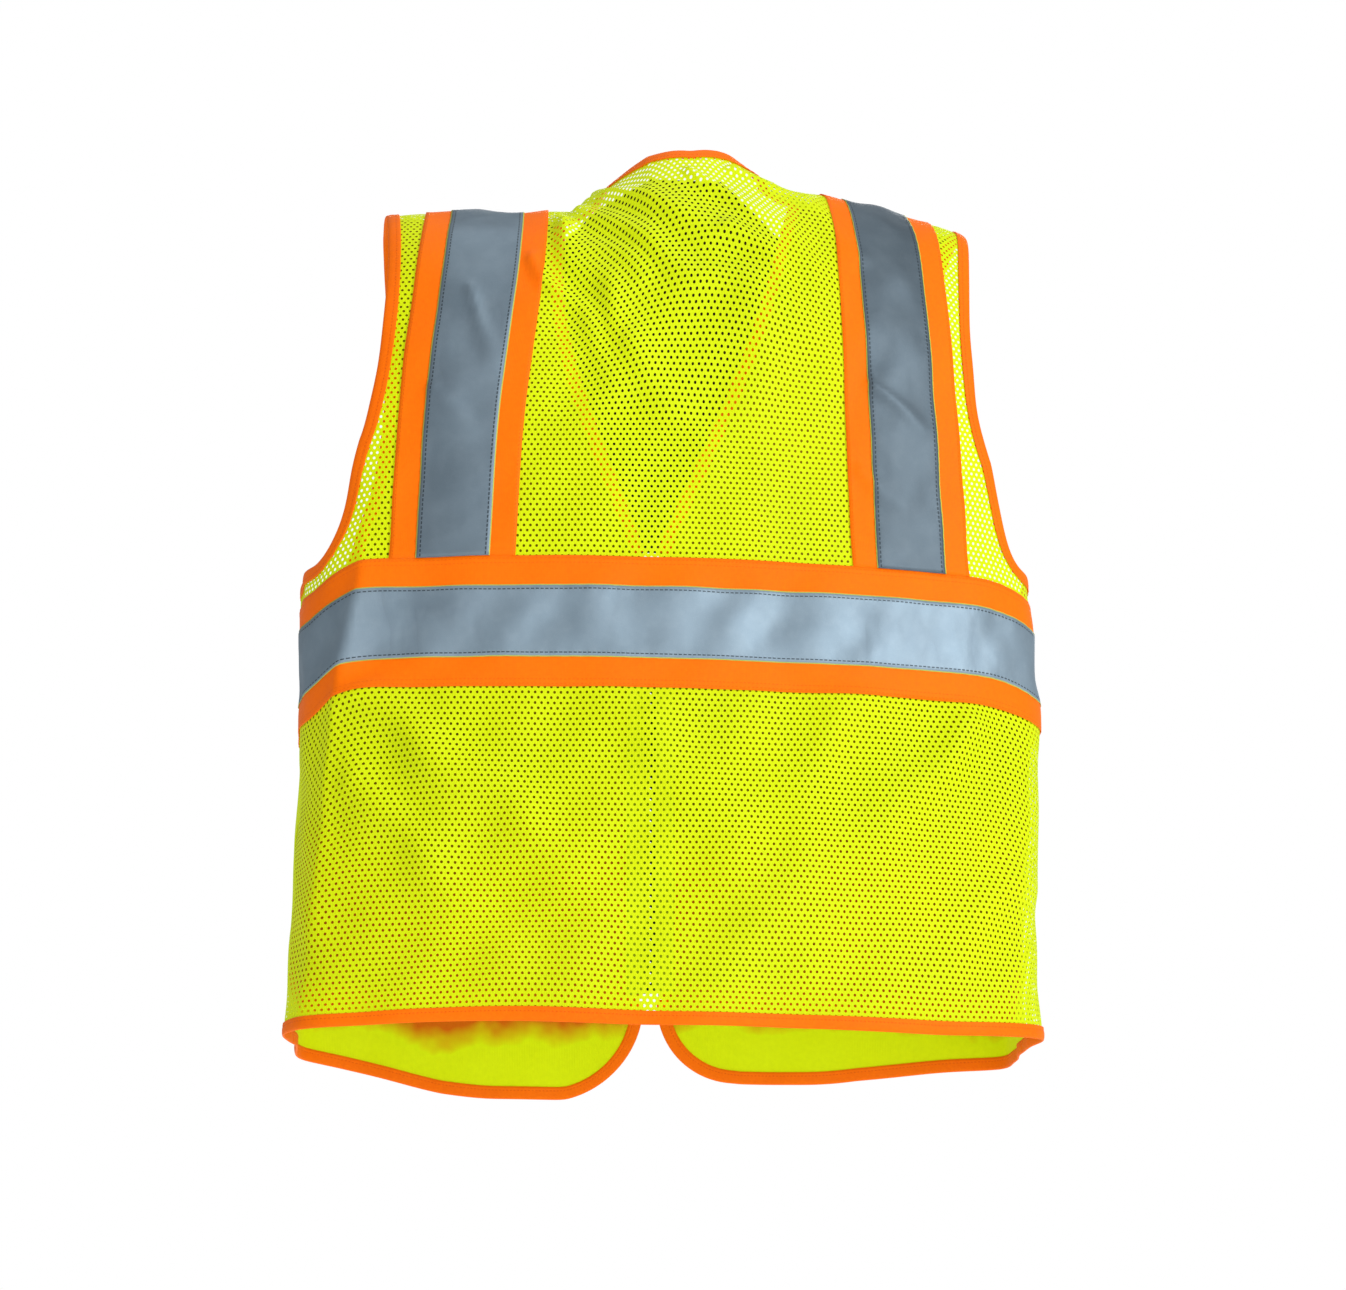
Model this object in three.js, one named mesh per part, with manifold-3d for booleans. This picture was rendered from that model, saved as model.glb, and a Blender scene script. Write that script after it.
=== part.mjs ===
// High visibility vest: mesh back, solid zipped fronts, contrast trim with reflective tape.
// Millimetres, +Z up. The wearer faces -Y and the wearer's left is +X.
// The origin is midway between the two shoulders, at the height of the neck points.
import * as THREE from "three";
import { mergeVertices } from "three/addons/utils/BufferGeometryUtils.js";
import Module from "manifold-3d";

const wasm = await Module();
wasm.setup();

// Body of the vest as worn.
const bodyHalfWidth = 254;
const backDepth = 118;
const frontDepth = 115;
const backSquareness = 4.6;
const frontSquareness = 8;
const backCrown = 0.2;
const frontCrown = 0.02;
const chestHeight = -200; // above this the panels curve in to the shoulder seams
const chestRoundness = 2.5;

// Shoulder line and neck.
const neckHalfWidth = 87;
const neckRise = 47; // how far the body rises at its centre above the neck points
const neckSpread = 48;
const backNeckHeight = 17;
const shoulderHalfWidth = 213;
const shoulderDrop = 18;
const vNeckBottom = -226;

// Armholes.
const armholeBottom = -278;
const armholeFlare = 12; // outwards from the shoulder tip to the bend under the arm
const backArmholeInset = 6;
const frontArmholeInset = 10;
const armholeLevel = 9; // the armhole runs level over this last stretch to the side seam

// Hems.
const backHem = -611;
const frontHemDrop = 16; // of the fronts below the back
const frontCornerRadius = 62;
const frontGap = 12; // between the two front edges, filled by the zipper
const levelHem = 40; // of the front hem, next to the rounded corner
const seamHem = 4; // of the front hem, next to the side seam
const belowHem = 38; // cloth made past the front hem and then cut off

// Cloth layers, out from the inside face of the panels.
const panelThickness = 0.8;
const layerGap = 0.3;
const edgeGap = 0.5; // between a raw edge and the fold of its binding
const trimThickness = 0.5;
const tapeThickness = 0.4;
const bindingThickness = 0.6;
const bindingWidth = 8;
const hemBindingRise = 2; // of the front hem's binding past the top of the rounded corner
const pocketThickness = 0.7;
const gripThickness = 0.8;
const flapThickness = 0.9;

// Contrast trim and reflective tape.
const tapeWidth = 50;
const strapTrimWidth = 84;
const waistTrimWidth = 90;
const waistTapeTop = -317;
const strapNeckGap = 5; // between a strap and the neck binding
const backStrapSplay = 15; // outwards from the shoulder to the waist
const frontStrapSplay = 1;

// Zipper, in the gap between the fronts.
const zipperTopGap = 5; // below the end of the neck binding
const zipperBottomGap = 5; // above the end of the front hem's binding
const zipperTapeWidth = 14;
const zipperTapeThickness = 0.6;
const chainWidth = 6;
const chainThickness = 2.4;
const chainRoot = 1.2;
const chainSlot = 1.2; // free strip between the two rows of teeth, for the slider's post
const toothPitch = 8;
const toothLength = 4;
const toothThickness = 1.9;
const sliderLength = 13;
const sliderWidth = 9.2;
const sliderPlate = 1;
const postLength = 3;
const sliderGap = 0.4;
const bridgeRise = 2.2; // above the pull's pivot
const bridgeLength = 8;
const bridgeWidth = 1.6;
const bridgeBar = 1.3;
const pullPlay = 0.2; // between the pull and the slider's front plate, beyond the layer gap
const pullLength = 34;
const pullWidth = 7;
const pullThickness = 1.2;
const pullTaper = 0.8; // width of the pull's tip as a share of its top
const eyeEnd = 1.6; // of the pull's eye past the bridge
const gripHoleRadius = 1.6;
const gripHoleRise = 4.5; // above the pull's tip
const stopHeight = 4;
const stopThickness = 2.8;
const boxHeight = 7;
const boxThickness = 3.6;
const pinRadius = 0.7;
const pinLength = 4.2;
const pinX = -1.7;
const overlap = 0.2; // of the pieces of one moulding into each other

// Lower pockets, one on each front.
const lowerPocketInnerX = 52;
const lowerPocketWidth = 146;
const lowerPocketHemGap = 4;
const lowerFlapGap = 37; // below the waist trim
const lowerFlapDrop = 58;
const lowerFlapOverhang = 3;
const lowerGripWidth = 60;

// Chest pockets: a radio pocket with a flap on the left, a pen pocket on the right.
const chestPocketWidth = 78;
const chestPocketWaistGap = 5;
const chestFlapTop = -148;
const chestFlapDrop = 46;
const chestFlapOverhang = 3;
const chestGripWidth = 34;
const gripHeight = 18;
const gripRise = 7; // above the flap's lower edge
const lowerFlapLift = 12; // of the flap's seam above the pocket's mouth
const chestFlapLift = 10;
const pocketRadius = 10;

// Microphone tabs on the front straps.
const tabWidth = 22;
const tabHeight = 46;
const tabThickness = 1.4;
const tabClearance = 1.5;
const tabCentreHeight = -104;

const lime = { color: 0xdcee12, roughness: 0.8, metalness: 0 };
const limeMesh = { color: 0xd8ec10, roughness: 0.85, metalness: 0 };
const orange = { color: 0xfe7801, roughness: 0.7, metalness: 0 };
const silver = { color: 0x93aab9, roughness: 0.4, metalness: 0.6 };
const blackPlastic = { color: 0x1c1c1c, roughness: 0.5, metalness: 0 };
const zipperCloth = { color: 0xc9dd14, roughness: 0.85, metalness: 0 };
const blackNylon = { color: 0x1d1e20, roughness: 0.9, metalness: 0 };
const blackPaint = { color: 0x17181a, roughness: 0.35, metalness: 0.4 };

const frontHem = backHem - frontHemDrop;
const gridBottom = frontHem - belowHem;
const strapTopX = neckHalfWidth + bindingWidth + strapNeckGap + strapTrimWidth / 2;
const backStrapBottomX = strapTopX + backStrapSplay;
const frontStrapBottomX = strapTopX + frontStrapSplay;

const trimFloor = panelThickness + layerGap;
const tapeFloor = trimFloor + trimThickness + layerGap;
const overTape = tapeFloor + tapeThickness + layerGap;
const waistTrimTop = waistTapeTop + (waistTrimWidth - tapeWidth) / 2;
const waistTrimBottom = waistTrimTop - waistTrimWidth;
const waistTapeBottom = waistTapeTop - tapeWidth;

const group = new THREE.Group();

function addMesh(name, geometry, finish, parent = group) {
  const mesh = new THREE.Mesh(geometry, new THREE.MeshStandardMaterial(finish));
  mesh.name = name;
  parent.add(mesh);
  return mesh;
}

// A closed geometry as a solid for boolean work.
function solidOf(geometry) {
  const plain = geometry.clone();
  plain.deleteAttribute("normal");
  plain.deleteAttribute("uv");
  const merged = mergeVertices(plain, 1e-4);
  return new wasm.Manifold(
    new wasm.Mesh({
      numProp: 3,
      vertProperties: merged.attributes.position.array,
      triVerts: new Uint32Array(merged.index.array),
    }),
  );
}

function geometryOf(solid) {
  const mesh = solid.getMesh();
  const geometry = new THREE.BufferGeometry();
  geometry.setAttribute("position", new THREE.BufferAttribute(mesh.vertProperties, 3));
  geometry.setIndex(new THREE.BufferAttribute(mesh.triVerts, 1));
  geometry.computeVertexNormals();
  return geometry;
}

// A pair of solids that mirror each other across the X = 0 plane.
const mirrorSolid = (solid) => solid.mirror([1, 0, 0]);
function addPair(name, solid, finish) {
  addMesh(name.replace("SIDE", "left"), geometryOf(solid), finish);
  addMesh(name.replace("SIDE", "right"), geometryOf(mirrorSolid(solid)), finish);
}

// ---- The body surface that every cloth layer follows ----

const backSide = { sign: 1, depth: backDepth, power: backSquareness, crown: backCrown };
const frontSide = { sign: -1, depth: frontDepth, power: frontSquareness, crown: frontCrown };
const halfColumns = 13;
const columnCrowding = 2.2; // narrower columns towards the side seams
const lowerRows = 1; // the section is constant below the chest
const upperRows = 7;

function shoulderLine(x) {
  const rise = neckRise * Math.exp(-((x / neckSpread) ** 2));
  return rise - shoulderDrop * (Math.abs(x) / shoulderHalfWidth) ** 2.2;
}

// Across the body below the chest: angle 0 is the left side seam, PI the right one.
function girthPoint(side, angle) {
  const across = Math.cos(angle);
  const x = bodyHalfWidth * Math.sign(across) * Math.abs(across) ** (2 / side.power);
  const round = Math.abs(Math.sin(angle)) ** (2 / side.power);
  const crown = 1 - side.crown * (x / bodyHalfWidth) ** 2;
  return [x, side.depth * round * crown];
}

function angleAt(side, x) {
  const share = Math.min(Math.abs(x) / bodyHalfWidth, 1);
  const angle = Math.acos(share ** (side.power / 2));
  return x < 0 ? Math.PI - angle : angle;
}

// row is -1 at the bottom of the grid, 0 at chest height and 1 at the shoulder seam.
function bodyPoint(side, angle, row) {
  const [x, fullY] = girthPoint(side, angle);
  if (row <= 0) {
    return new THREE.Vector3(x, side.sign * fullY, chestHeight + row * (chestHeight - gridBottom));
  }
  const turn = (row * Math.PI) / 2;
  const up = Math.sin(turn) ** (2 / chestRoundness);
  const out = row >= 1 ? 0 : Math.cos(turn) ** (2 / chestRoundness);
  const z = chestHeight + (shoulderLine(x) - chestHeight) * up;
  return new THREE.Vector3(x, side.sign * fullY * out, z);
}

function rowAt(x, z) {
  if (z <= chestHeight) return (z - chestHeight) / (chestHeight - gridBottom);
  const share = (z - chestHeight) / (shoulderLine(x) - chestHeight);
  return (Math.asin(Math.min(share, 1) ** (chestRoundness / 2)) * 2) / Math.PI;
}

function bodyNormal(side, angle, row) {
  const small = 1e-3;
  if (angle < small || angle > Math.PI - small) {
    return new THREE.Vector3(Math.sign(Math.cos(angle)), 0, 0);
  }
  if (row > 1 - small) {
    const x = girthPoint(side, angle)[0];
    const slope = (shoulderLine(x + small) - shoulderLine(x - small)) / (2 * small);
    return new THREE.Vector3(-slope, 0, 1).normalize();
  }
  const along = bodyPoint(side, angle + small, row).sub(bodyPoint(side, angle - small, row));
  const up = bodyPoint(side, angle, row + small).sub(bodyPoint(side, angle, row - small));
  return along.cross(up).normalize();
}

const gridColumns = [];
for (let i = -halfColumns; i <= halfColumns; i++) {
  const share = 1 - (1 - Math.abs(i) / halfColumns) ** columnCrowding;
  gridColumns.push(-Math.sign(i) * share * bodyHalfWidth);
}
const gridRows = [];
for (let i = 0; i <= lowerRows; i++) gridRows.push(i / lowerRows - 1);
for (let i = 1; i <= upperRows; i++) gridRows.push(i / upperRows);

function bodyGrid(side) {
  const spots = [];
  for (const row of gridRows) {
    for (const x of gridColumns) {
      const angle = angleAt(side, x);
      const normal = bodyNormal(side, angle, row);
      if (normal.y * side.sign < 0) normal.negate();
      spots.push({ point: bodyPoint(side, angle, row), normal });
    }
  }
  return spots;
}

const grids = new Map([
  [backSide, bodyGrid(backSide)],
  [frontSide, bodyGrid(frontSide)],
]);

// A solid skin from two grids of points with the same corners, one outside the other.
// Its triangles on the left and right halves mirror each other.
function shell(inner, outer, across, flip) {
  const count = inner.length;
  const rows = count / across;
  const indices = [];
  const quad = (a, b, c, d) => {
    if (flip) indices.push(a, c, b, a, d, c);
    else indices.push(a, b, c, a, c, d);
  };
  for (let j = 0; j < rows - 1; j++) {
    for (let i = 0; i < across - 1; i++) {
      const a = j * across + i;
      const ring = [a, a + 1, a + across + 1, a + across];
      if (i >= (across - 1) / 2) ring.push(ring.shift());
      const [p, q, r, s] = ring;
      quad(count + p, count + q, count + r, count + s);
      quad(p, s, r, q);
    }
    const first = j * across;
    const last = first + across - 1;
    quad(first, first + count, first + count + across, first + across);
    quad(last, last + across, last + count + across, last + count);
  }
  const top = count - across;
  for (let i = 0; i < across - 1; i++) {
    quad(i, i + 1, i + 1 + count, i + count);
    quad(top + i, top + i + count, top + i + 1 + count, top + i + 1);
  }
  return closedSolid([...inner, ...outer], indices);
}

function closedSolid(points, indices) {
  const geometry = new THREE.BufferGeometry().setFromPoints(points);
  geometry.setIndex(indices);
  return solidOf(geometry);
}

// The layer of cloth between two distances from the body surface, over one whole side.
function layer(side, low, high) {
  const at = (distance) =>
    grids.get(side).map(({ point, normal }) => point.clone().addScaledVector(normal, distance));
  return shell(at(low), at(high), gridColumns.length, side.sign < 0);
}

// ---- Cuts ----

const seamGap = layerGap / 2;
const farAway = 400;
const cornerSteps = 4;
const curveSteps = 80;

// An outline of [x, z] points pushed through one side of the body along Y.
function prism(points, side) {
  const shape = new THREE.Shape(points.map(([x, z]) => new THREE.Vector2(x, z)));
  const geometry = new THREE.ExtrudeGeometry(shape, { depth: farAway, bevelEnabled: false });
  geometry.rotateX(Math.PI / 2);
  geometry.translate(0, side.sign > 0 ? farAway + seamGap : -seamGap, 0);
  return solidOf(geometry);
}

function rectangle(left, right, bottom, top) {
  return [[left, bottom], [right, bottom], [right, top], [left, top]];
}

// Square at the top corners and rounded at the bottom ones.
function pocketOutline(left, right, bottom, top) {
  const points = [[right, top], [left, top]];
  const corner = (x, z, start) => {
    for (let i = 0; i <= cornerSteps; i++) {
      const turn = start + (i / cornerSteps) * (Math.PI / 2);
      points.push([x + pocketRadius * Math.cos(turn), z + pocketRadius * Math.sin(turn)]);
    }
  };
  corner(left + pocketRadius, bottom + pocketRadius, Math.PI);
  corner(right - pocketRadius, bottom + pocketRadius, -Math.PI / 2);
  return points;
}

const mirrored = (points) => points.map(([x, z]) => [-x, z]).reverse();

function curve(start, firstPull, secondPull, end) {
  const ends = [start, firstPull, secondPull, end].map((p) => new THREE.Vector2(...p));
  return new THREE.CubicBezierCurve(...ends).getPoints(curveSteps).map((p) => [p.x, p.y]);
}

// A line of [x, z] points moved sideways, to its right as it is walked.
function moved(line, distance) {
  return line.map(([x, z], i) => {
    const [ax, az] = line[Math.max(i - 1, 0)];
    const [bx, bz] = line[Math.min(i + 1, line.length - 1)];
    const length = Math.hypot(bx - ax, bz - az);
    return [x + ((bz - az) * distance) / length, z - ((bx - ax) * distance) / length];
  });
}

// A line of [x, z] points laid on one side of the body, in steps of equal length.
function laidOn(side, line, steps) {
  const spots = line.map(([x, z]) => ({ angle: angleAt(side, x), row: rowAt(x, z) }));
  const points = spots.map(({ angle, row }) => bodyPoint(side, angle, row));
  const lengths = [0];
  for (let i = 1; i < points.length; i++) {
    lengths.push(lengths[i - 1] + points[i].distanceTo(points[i - 1]));
  }
  const path = [];
  let at = 0;
  for (let i = 0; i <= steps; i++) {
    const target = (lengths[lengths.length - 1] * i) / steps;
    while (at < lengths.length - 2 && lengths[at + 1] < target) at++;
    const share = (target - lengths[at]) / (lengths[at + 1] - lengths[at]);
    const angle = spots[at].angle + (spots[at + 1].angle - spots[at].angle) * share;
    const row = spots[at].row + (spots[at + 1].row - spots[at].row) * share;
    const normal = bodyNormal(side, angle, row);
    if (normal.y * side.sign < 0) normal.negate();
    path.push({ point: bodyPoint(side, angle, row), normal });
  }
  return path;
}

const mirrorSpot = ({ point, normal }) => ({
  point: point.clone().setX(-point.x),
  normal: normal.clone().setX(-normal.x),
});
const outlineOf = (path) => path.map(({ point }) => [point.x, point.z]);

// A solid of rectangular section along a path that has the cloth on its left, seen from
// outside the body. It covers from "past" beyond the edge to "into" the cloth.
const edgeReach = 9;
function alongEdge(path, past, into, closed, reach = edgeReach) {
  const corners = [
    [-past, -reach],
    [into, -reach],
    [into, 0],
    [into, reach],
    [-past, reach],
    [-past, 0],
  ];
  const points = [];
  path.forEach(({ point, normal }, i) => {
    const before = closed ? path.at(i - 1) : path[Math.max(i - 1, 0)];
    const after = closed ? path[(i + 1) % path.length] : path[Math.min(i + 1, path.length - 1)];
    const onward = after.point.clone().sub(before.point);
    const inward = normal.clone().cross(onward).normalize();
    for (const [side, up] of corners) {
      points.push(point.clone().addScaledVector(inward, side).addScaledVector(normal, up));
    }
  });
  const indices = [];
  const rings = path.length;
  const around = corners.length;
  for (let i = 0; i < (closed ? rings : rings - 1); i++) {
    const next = ((i + 1) % rings) * around;
    for (let j = 0; j < around; j++) {
      const k = (j + 1) % around;
      const first = i * around;
      indices.push(first + j, first + k, next + k, first + j, next + k, next + j);
    }
  }
  if (!closed) {
    const end = (rings - 1) * around;
    for (let j = 1; j < around - 1; j++) {
      indices.push(0, j + 1, j, end, end + j, end + j + 1);
    }
  }
  return closedSolid(points, indices);
}

// A path run straight on at both ends, so that a cut goes past the cloth.
function runOn(path, by) {
  const beyond = (from, to) => {
    const step = to.point.clone().sub(from.point).setLength(by);
    return { point: to.point.clone().add(step), normal: to.normal };
  };
  return [beyond(path[1], path[0]), ...path, beyond(path.at(-2), path.at(-1))];
}

// ---- Edges of the panels, on the wearer's left ----

const neckPoint = [neckHalfWidth, shoulderLine(neckHalfWidth)];
const shoulderTip = [shoulderHalfWidth, shoulderLine(shoulderHalfWidth)];
const pastSide = bodyHalfWidth + 14;
const aboveNeck = neckRise + 60;
const backNeckSteps = 7;
const frontNeckSteps = 11;
const armholeSteps = 14;
const underarmSteps = 12;
const frontEdge = frontGap / 2;
const armholeTurn = bodyHalfWidth - armholeLevel;

const backNeck = laidOn(
  backSide,
  curve(
    [0, backNeckHeight],
    [neckHalfWidth * 0.52, backNeckHeight],
    [neckHalfWidth * 0.84, backNeckHeight * 0.24],
    neckPoint,
  ),
  backNeckSteps,
);
const frontNeck = laidOn(
  frontSide,
  curve(
    neckPoint,
    [neckHalfWidth * 0.92, vNeckBottom * 0.3],
    [neckHalfWidth * 0.45, vNeckBottom * 0.62],
    [frontEdge, vNeckBottom],
  ),
  frontNeckSteps,
);

function armhole(side, inset) {
  const innerX = shoulderHalfWidth - inset;
  const bend = [innerX + armholeFlare, armholeBottom * 0.76];
  const line = [
    ...curve(shoulderTip, [innerX, shoulderTip[1] - 50], [innerX - 6, armholeBottom * 0.6], bend),
    ...curve(
      bend,
      [bend[0] + 9, armholeBottom * 0.88],
      [armholeTurn - 16, armholeBottom],
      [armholeTurn, armholeBottom],
    ).slice(1),
  ];
  for (let i = 1; i <= underarmSteps; i++) {
    const angle = angleAt(side, armholeTurn) * (1 - i / underarmSteps);
    line.push([girthPoint(side, angle)[0], armholeBottom]);
  }
  return laidOn(side, line, armholeSteps);
}
const backArmhole = armhole(backSide, backArmholeInset);
const frontArmhole = armhole(frontSide, frontArmholeInset);

// Front hem from the side seam to the rounded corner and up to the front edge.
const cornerX = frontEdge + frontCornerRadius;
const cornerZ = frontHem + frontCornerRadius;
const hemStartX = bodyHalfWidth - seamHem;
const hemSlopeWidth = hemStartX - levelHem - cornerX;
const hemSlopeSteps = 5;
const hemCornerSteps = 8;
const frontHemLine = [[pastSide, backHem], [hemStartX, backHem]];
for (let i = 1; i <= hemSlopeSteps; i++) {
  const share = i / hemSlopeSteps;
  const drop = (frontHemDrop * (1 - Math.cos(share * Math.PI))) / 2;
  frontHemLine.push([hemStartX - share * hemSlopeWidth, backHem - drop]);
}
for (let i = 0; i <= hemCornerSteps; i++) {
  const turn = (i / hemCornerSteps) * (Math.PI / 2);
  frontHemLine.push([
    cornerX - frontCornerRadius * Math.sin(turn),
    cornerZ - frontCornerRadius * Math.cos(turn),
  ]);
}
const overShoulder = [[neckPoint[0], aboveNeck], [shoulderTip[0], aboveNeck]];

// ---- Panels ----

// Panels are cut roughly by an outline that runs this far past their edges, then along them.
const roughCut = 8;
const neckClear = 45; // from the neck's edge towards the middle of the opening
const neckReach = 40;
const neckCut = (path) => alongEdge(runOn(path, roughCut), neckClear, 0, false, neckReach);
const armholeCut = (path) => alongEdge(runOn(path, roughCut), 1.5 * roughCut, 0, false);
const past = (path) => moved(outlineOf(path), -roughCut);

function backPanel() {
  const left = [
    [0, backNeckHeight + roughCut],
    ...past(backNeck).slice(1),
    ...overShoulder,
    ...past(backArmhole),
    [pastSide, armholeBottom + roughCut],
    [pastSide, backHem],
  ];
  const rough = prism([...left, ...mirrored(left).slice(0, -1)], backSide);
  const hole = armholeCut(backArmhole);
  return layer(backSide, 0, panelThickness)
    .intersect(rough)
    .subtract(neckCut([...backNeck.slice(1).reverse().map(mirrorSpot), ...backNeck]))
    .subtract(hole)
    .subtract(mirrorSolid(hole));
}

function leftFrontPanel() {
  const outline = [
    [frontEdge, vNeckBottom],
    ...past(frontNeck.slice().reverse()).map(([x, z]) => [Math.max(x, frontEdge), z]).slice(1),
    ...overShoulder,
    ...past(frontArmhole),
    [pastSide, armholeBottom + roughCut],
    ...frontHemLine,
  ];
  return layer(frontSide, 0, panelThickness)
    .intersect(prism(outline, frontSide))
    .subtract(neckCut(frontNeck))
    .subtract(armholeCut(frontArmhole.slice().reverse()));
}

// ---- Trims and tapes ----

// A left strap of a given half width, from the waist trim to the shoulder.
function strapOutline(bottomX, halfWidth) {
  const bottom = waistTrimTop + layerGap;
  return [
    [bottomX - halfWidth, bottom],
    [bottomX + halfWidth, bottom],
    [strapTopX + halfWidth, shoulderLine(strapTopX)],
    [strapTopX + halfWidth, aboveNeck],
    [strapTopX - halfWidth, aboveNeck],
    [strapTopX - halfWidth, shoulderLine(strapTopX)],
  ];
}

const trimLayer = (side) => layer(side, trimFloor, trimFloor + trimThickness);
const tapeLayer = (side) => layer(side, tapeFloor, tapeFloor + tapeThickness);

// ---- Bindings: tape folded round a raw edge ----

const wrap = edgeGap + bindingThickness;
const foldedOver = (side) =>
  layer(side, -layerGap - bindingThickness, trimFloor + bindingThickness);
const clothRoom = (side) => layer(side, -layerGap, trimFloor);
const bothSides = (make) => make(backSide).add(make(frontSide));

function loopBinding(path, closed) {
  const body = bothSides(foldedOver).intersect(alongEdge(path, wrap, bindingWidth, closed));
  const roomPath = closed ? path : runOn(path, bindingWidth);
  const room = alongEdge(roomPath, edgeGap, 2 * bindingWidth, closed);
  return body.subtract(bothSides(clothRoom).intersect(room));
}

function neckBinding() {
  const left = [...backNeck, ...frontNeck.slice(1)];
  const right = left.slice(1).reverse().map(mirrorSpot);
  return loopBinding([...right, ...left], false);
}

function armholeBinding() {
  return loopBinding([...backArmhole, ...frontArmhole.slice(1, -1).reverse()], true);
}

// Binding of a hem, whose line has the cloth on its right.
function hemBinding(side, line, roomLine) {
  const strip = (path, past, into) => [...moved(path, -past), ...moved(path, into).reverse()];
  const body = foldedOver(side).intersect(prism(strip(line, wrap, bindingWidth), side));
  const room = prism(strip(roomLine, edgeGap, 2 * bindingWidth), side);
  return body.subtract(clothRoom(side).intersect(room));
}

function backHemBinding() {
  const line = [[pastSide, backHem], [-pastSide, backHem]];
  return hemBinding(backSide, line, line);
}

function leftFrontHemBinding() {
  const end = [frontEdge, cornerZ + layerGap + hemBindingRise];
  const line = [...frontHemLine, end];
  return hemBinding(frontSide, line, [...line, [frontEdge, end[1] + bindingWidth]]);
}

// ---- Zipper ----

const frontFace = -frontDepth; // inside face of the fronts along the zipper
const zipperTop = vNeckBottom - zipperTopGap;
const zipperBottom = cornerZ + layerGap + hemBindingRise + zipperBottomGap;
const zipperLength = zipperTop - zipperBottom;
const chainTop = zipperTop - stopHeight - layerGap;
const chainBottom = zipperBottom + boxHeight + layerGap;
const zipperTapeY = frontFace + layerGap + zipperTapeThickness / 2;
const chainHalf = chainWidth / 2;

function box(width, depth, height, x, y, z) {
  const geometry = new THREE.BoxGeometry(width, depth, height);
  return geometry.translate(x, y, z);
}

const joined = (geometries) => geometries.map(solidOf).reduce((all, next) => all.add(next));
const cut = (solid, geometry) => solid.subtract(solidOf(geometry));

function zipperTape() {
  const inner = chainHalf + layerGap;
  const x = inner + zipperTapeWidth / 2;
  const z = zipperTop - zipperLength / 2;
  return solidOf(box(zipperTapeWidth, zipperTapeThickness, zipperLength, x, zipperTapeY, z));
}

// One row of teeth on its cord. The rows are set half a pitch apart.
function teethRow(start) {
  const root = chainHalf - chainRoot / 2;
  const height = chainTop - chainBottom;
  const pieces = [box(chainRoot, chainThickness, height, root, zipperTapeY, chainBottom + height / 2)];
  const reach = chainHalf - chainRoot - chainSlot / 2 + overlap;
  const x = chainSlot / 2 + reach / 2;
  for (let z = chainTop - toothLength - start; z > chainBottom + toothLength; z -= toothPitch) {
    pieces.push(box(reach, toothThickness, toothLength, x, zipperTapeY, z));
  }
  return joined(pieces);
}

function topStop() {
  const width = chainHalf - chainSlot / 2;
  const x = chainSlot / 2 + width / 2;
  const z = zipperTop - stopHeight / 2;
  const shape = solidOf(box(width, stopThickness, stopHeight, x, zipperTapeY, z));
  const notch = box(width, chainSlot, chainSlot, x + width, zipperTapeY, z + stopHeight / 2);
  return cut(shape, notch);
}

// The box at the bottom holds the pin of the other side.
function retainerBox() {
  const z = zipperBottom + boxHeight / 2;
  const shape = solidOf(box(chainWidth, boxThickness, boxHeight, 0, zipperTapeY, z));
  const room = pinRadius + layerGap;
  const depth = pinLength + layerGap;
  const hole = new THREE.CylinderGeometry(room, room, depth + overlap, 12);
  const top = zipperBottom + boxHeight;
  hole.rotateX(Math.PI / 2).translate(pinX, zipperTapeY, top - (depth - overlap) / 2);
  return cut(shape, hole);
}

function insertionPin() {
  const pin = new THREE.CylinderGeometry(pinRadius, pinRadius, pinLength, 12);
  const z = zipperBottom + boxHeight - pinLength / 2;
  return solidOf(pin.rotateX(Math.PI / 2).translate(pinX, zipperTapeY, z));
}

// The slider's own frame: origin at the pull's pivot, the cloth towards +Y.
const sliderOuter = chainThickness / 2 + sliderGap + sliderPlate; // from the tape's middle
const pivotHeight = layerGap + pullPlay + pullThickness / 2; // above the slider's front plate
const pivotY = zipperTapeY - sliderOuter - pivotHeight;
const sliderZ = chainTop - sliderLength / 2 - layerGap;

function sliderBody() {
  const middle = sliderOuter + pivotHeight; // from the pivot to the tape's middle
  const plateAt = sliderOuter - sliderPlate / 2;
  const flangeDepth = chainThickness / 2 + sliderGap - zipperTapeThickness / 2 - layerGap;
  const flangeWidth = (sliderWidth - chainWidth) / 2 - layerGap;
  const flangeX = (sliderWidth - flangeWidth) / 2;
  const flangeAt = sliderOuter - sliderPlate - flangeDepth / 2;
  const postHeight = 2 * (sliderOuter - sliderPlate + overlap);
  const postWidth = chainSlot - 2 * layerGap;
  const postZ = (sliderLength - postLength) / 2 - overlap;
  const flangeLength = sliderLength * 0.7;
  const flangeZ = (flangeLength - sliderLength) / 2 + sliderPlate;
  const pieces = [box(postWidth, postHeight, postLength, 0, middle, postZ)];
  for (const face of [-1, 1]) {
    pieces.push(box(sliderWidth, sliderPlate, sliderLength, 0, middle + face * plateAt, 0));
    for (const edge of [-1, 1]) {
      const y = middle + face * flangeAt;
      const depth = flangeDepth + overlap;
      pieces.push(box(flangeWidth, depth, flangeLength, edge * flangeX, y, flangeZ));
    }
  }
  const legHeight = pivotHeight + bridgeRise;
  const legY = pivotHeight - legHeight / 2;
  for (const end of [-1, 1]) {
    const z = (end * (bridgeLength - bridgeBar)) / 2;
    pieces.push(box(bridgeWidth, legHeight + overlap, bridgeBar, 0, legY + overlap / 2, z));
  }
  pieces.push(box(bridgeWidth, bridgeBar, bridgeLength, 0, -bridgeRise + bridgeBar / 2, 0));
  return joined(pieces);
}

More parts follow.
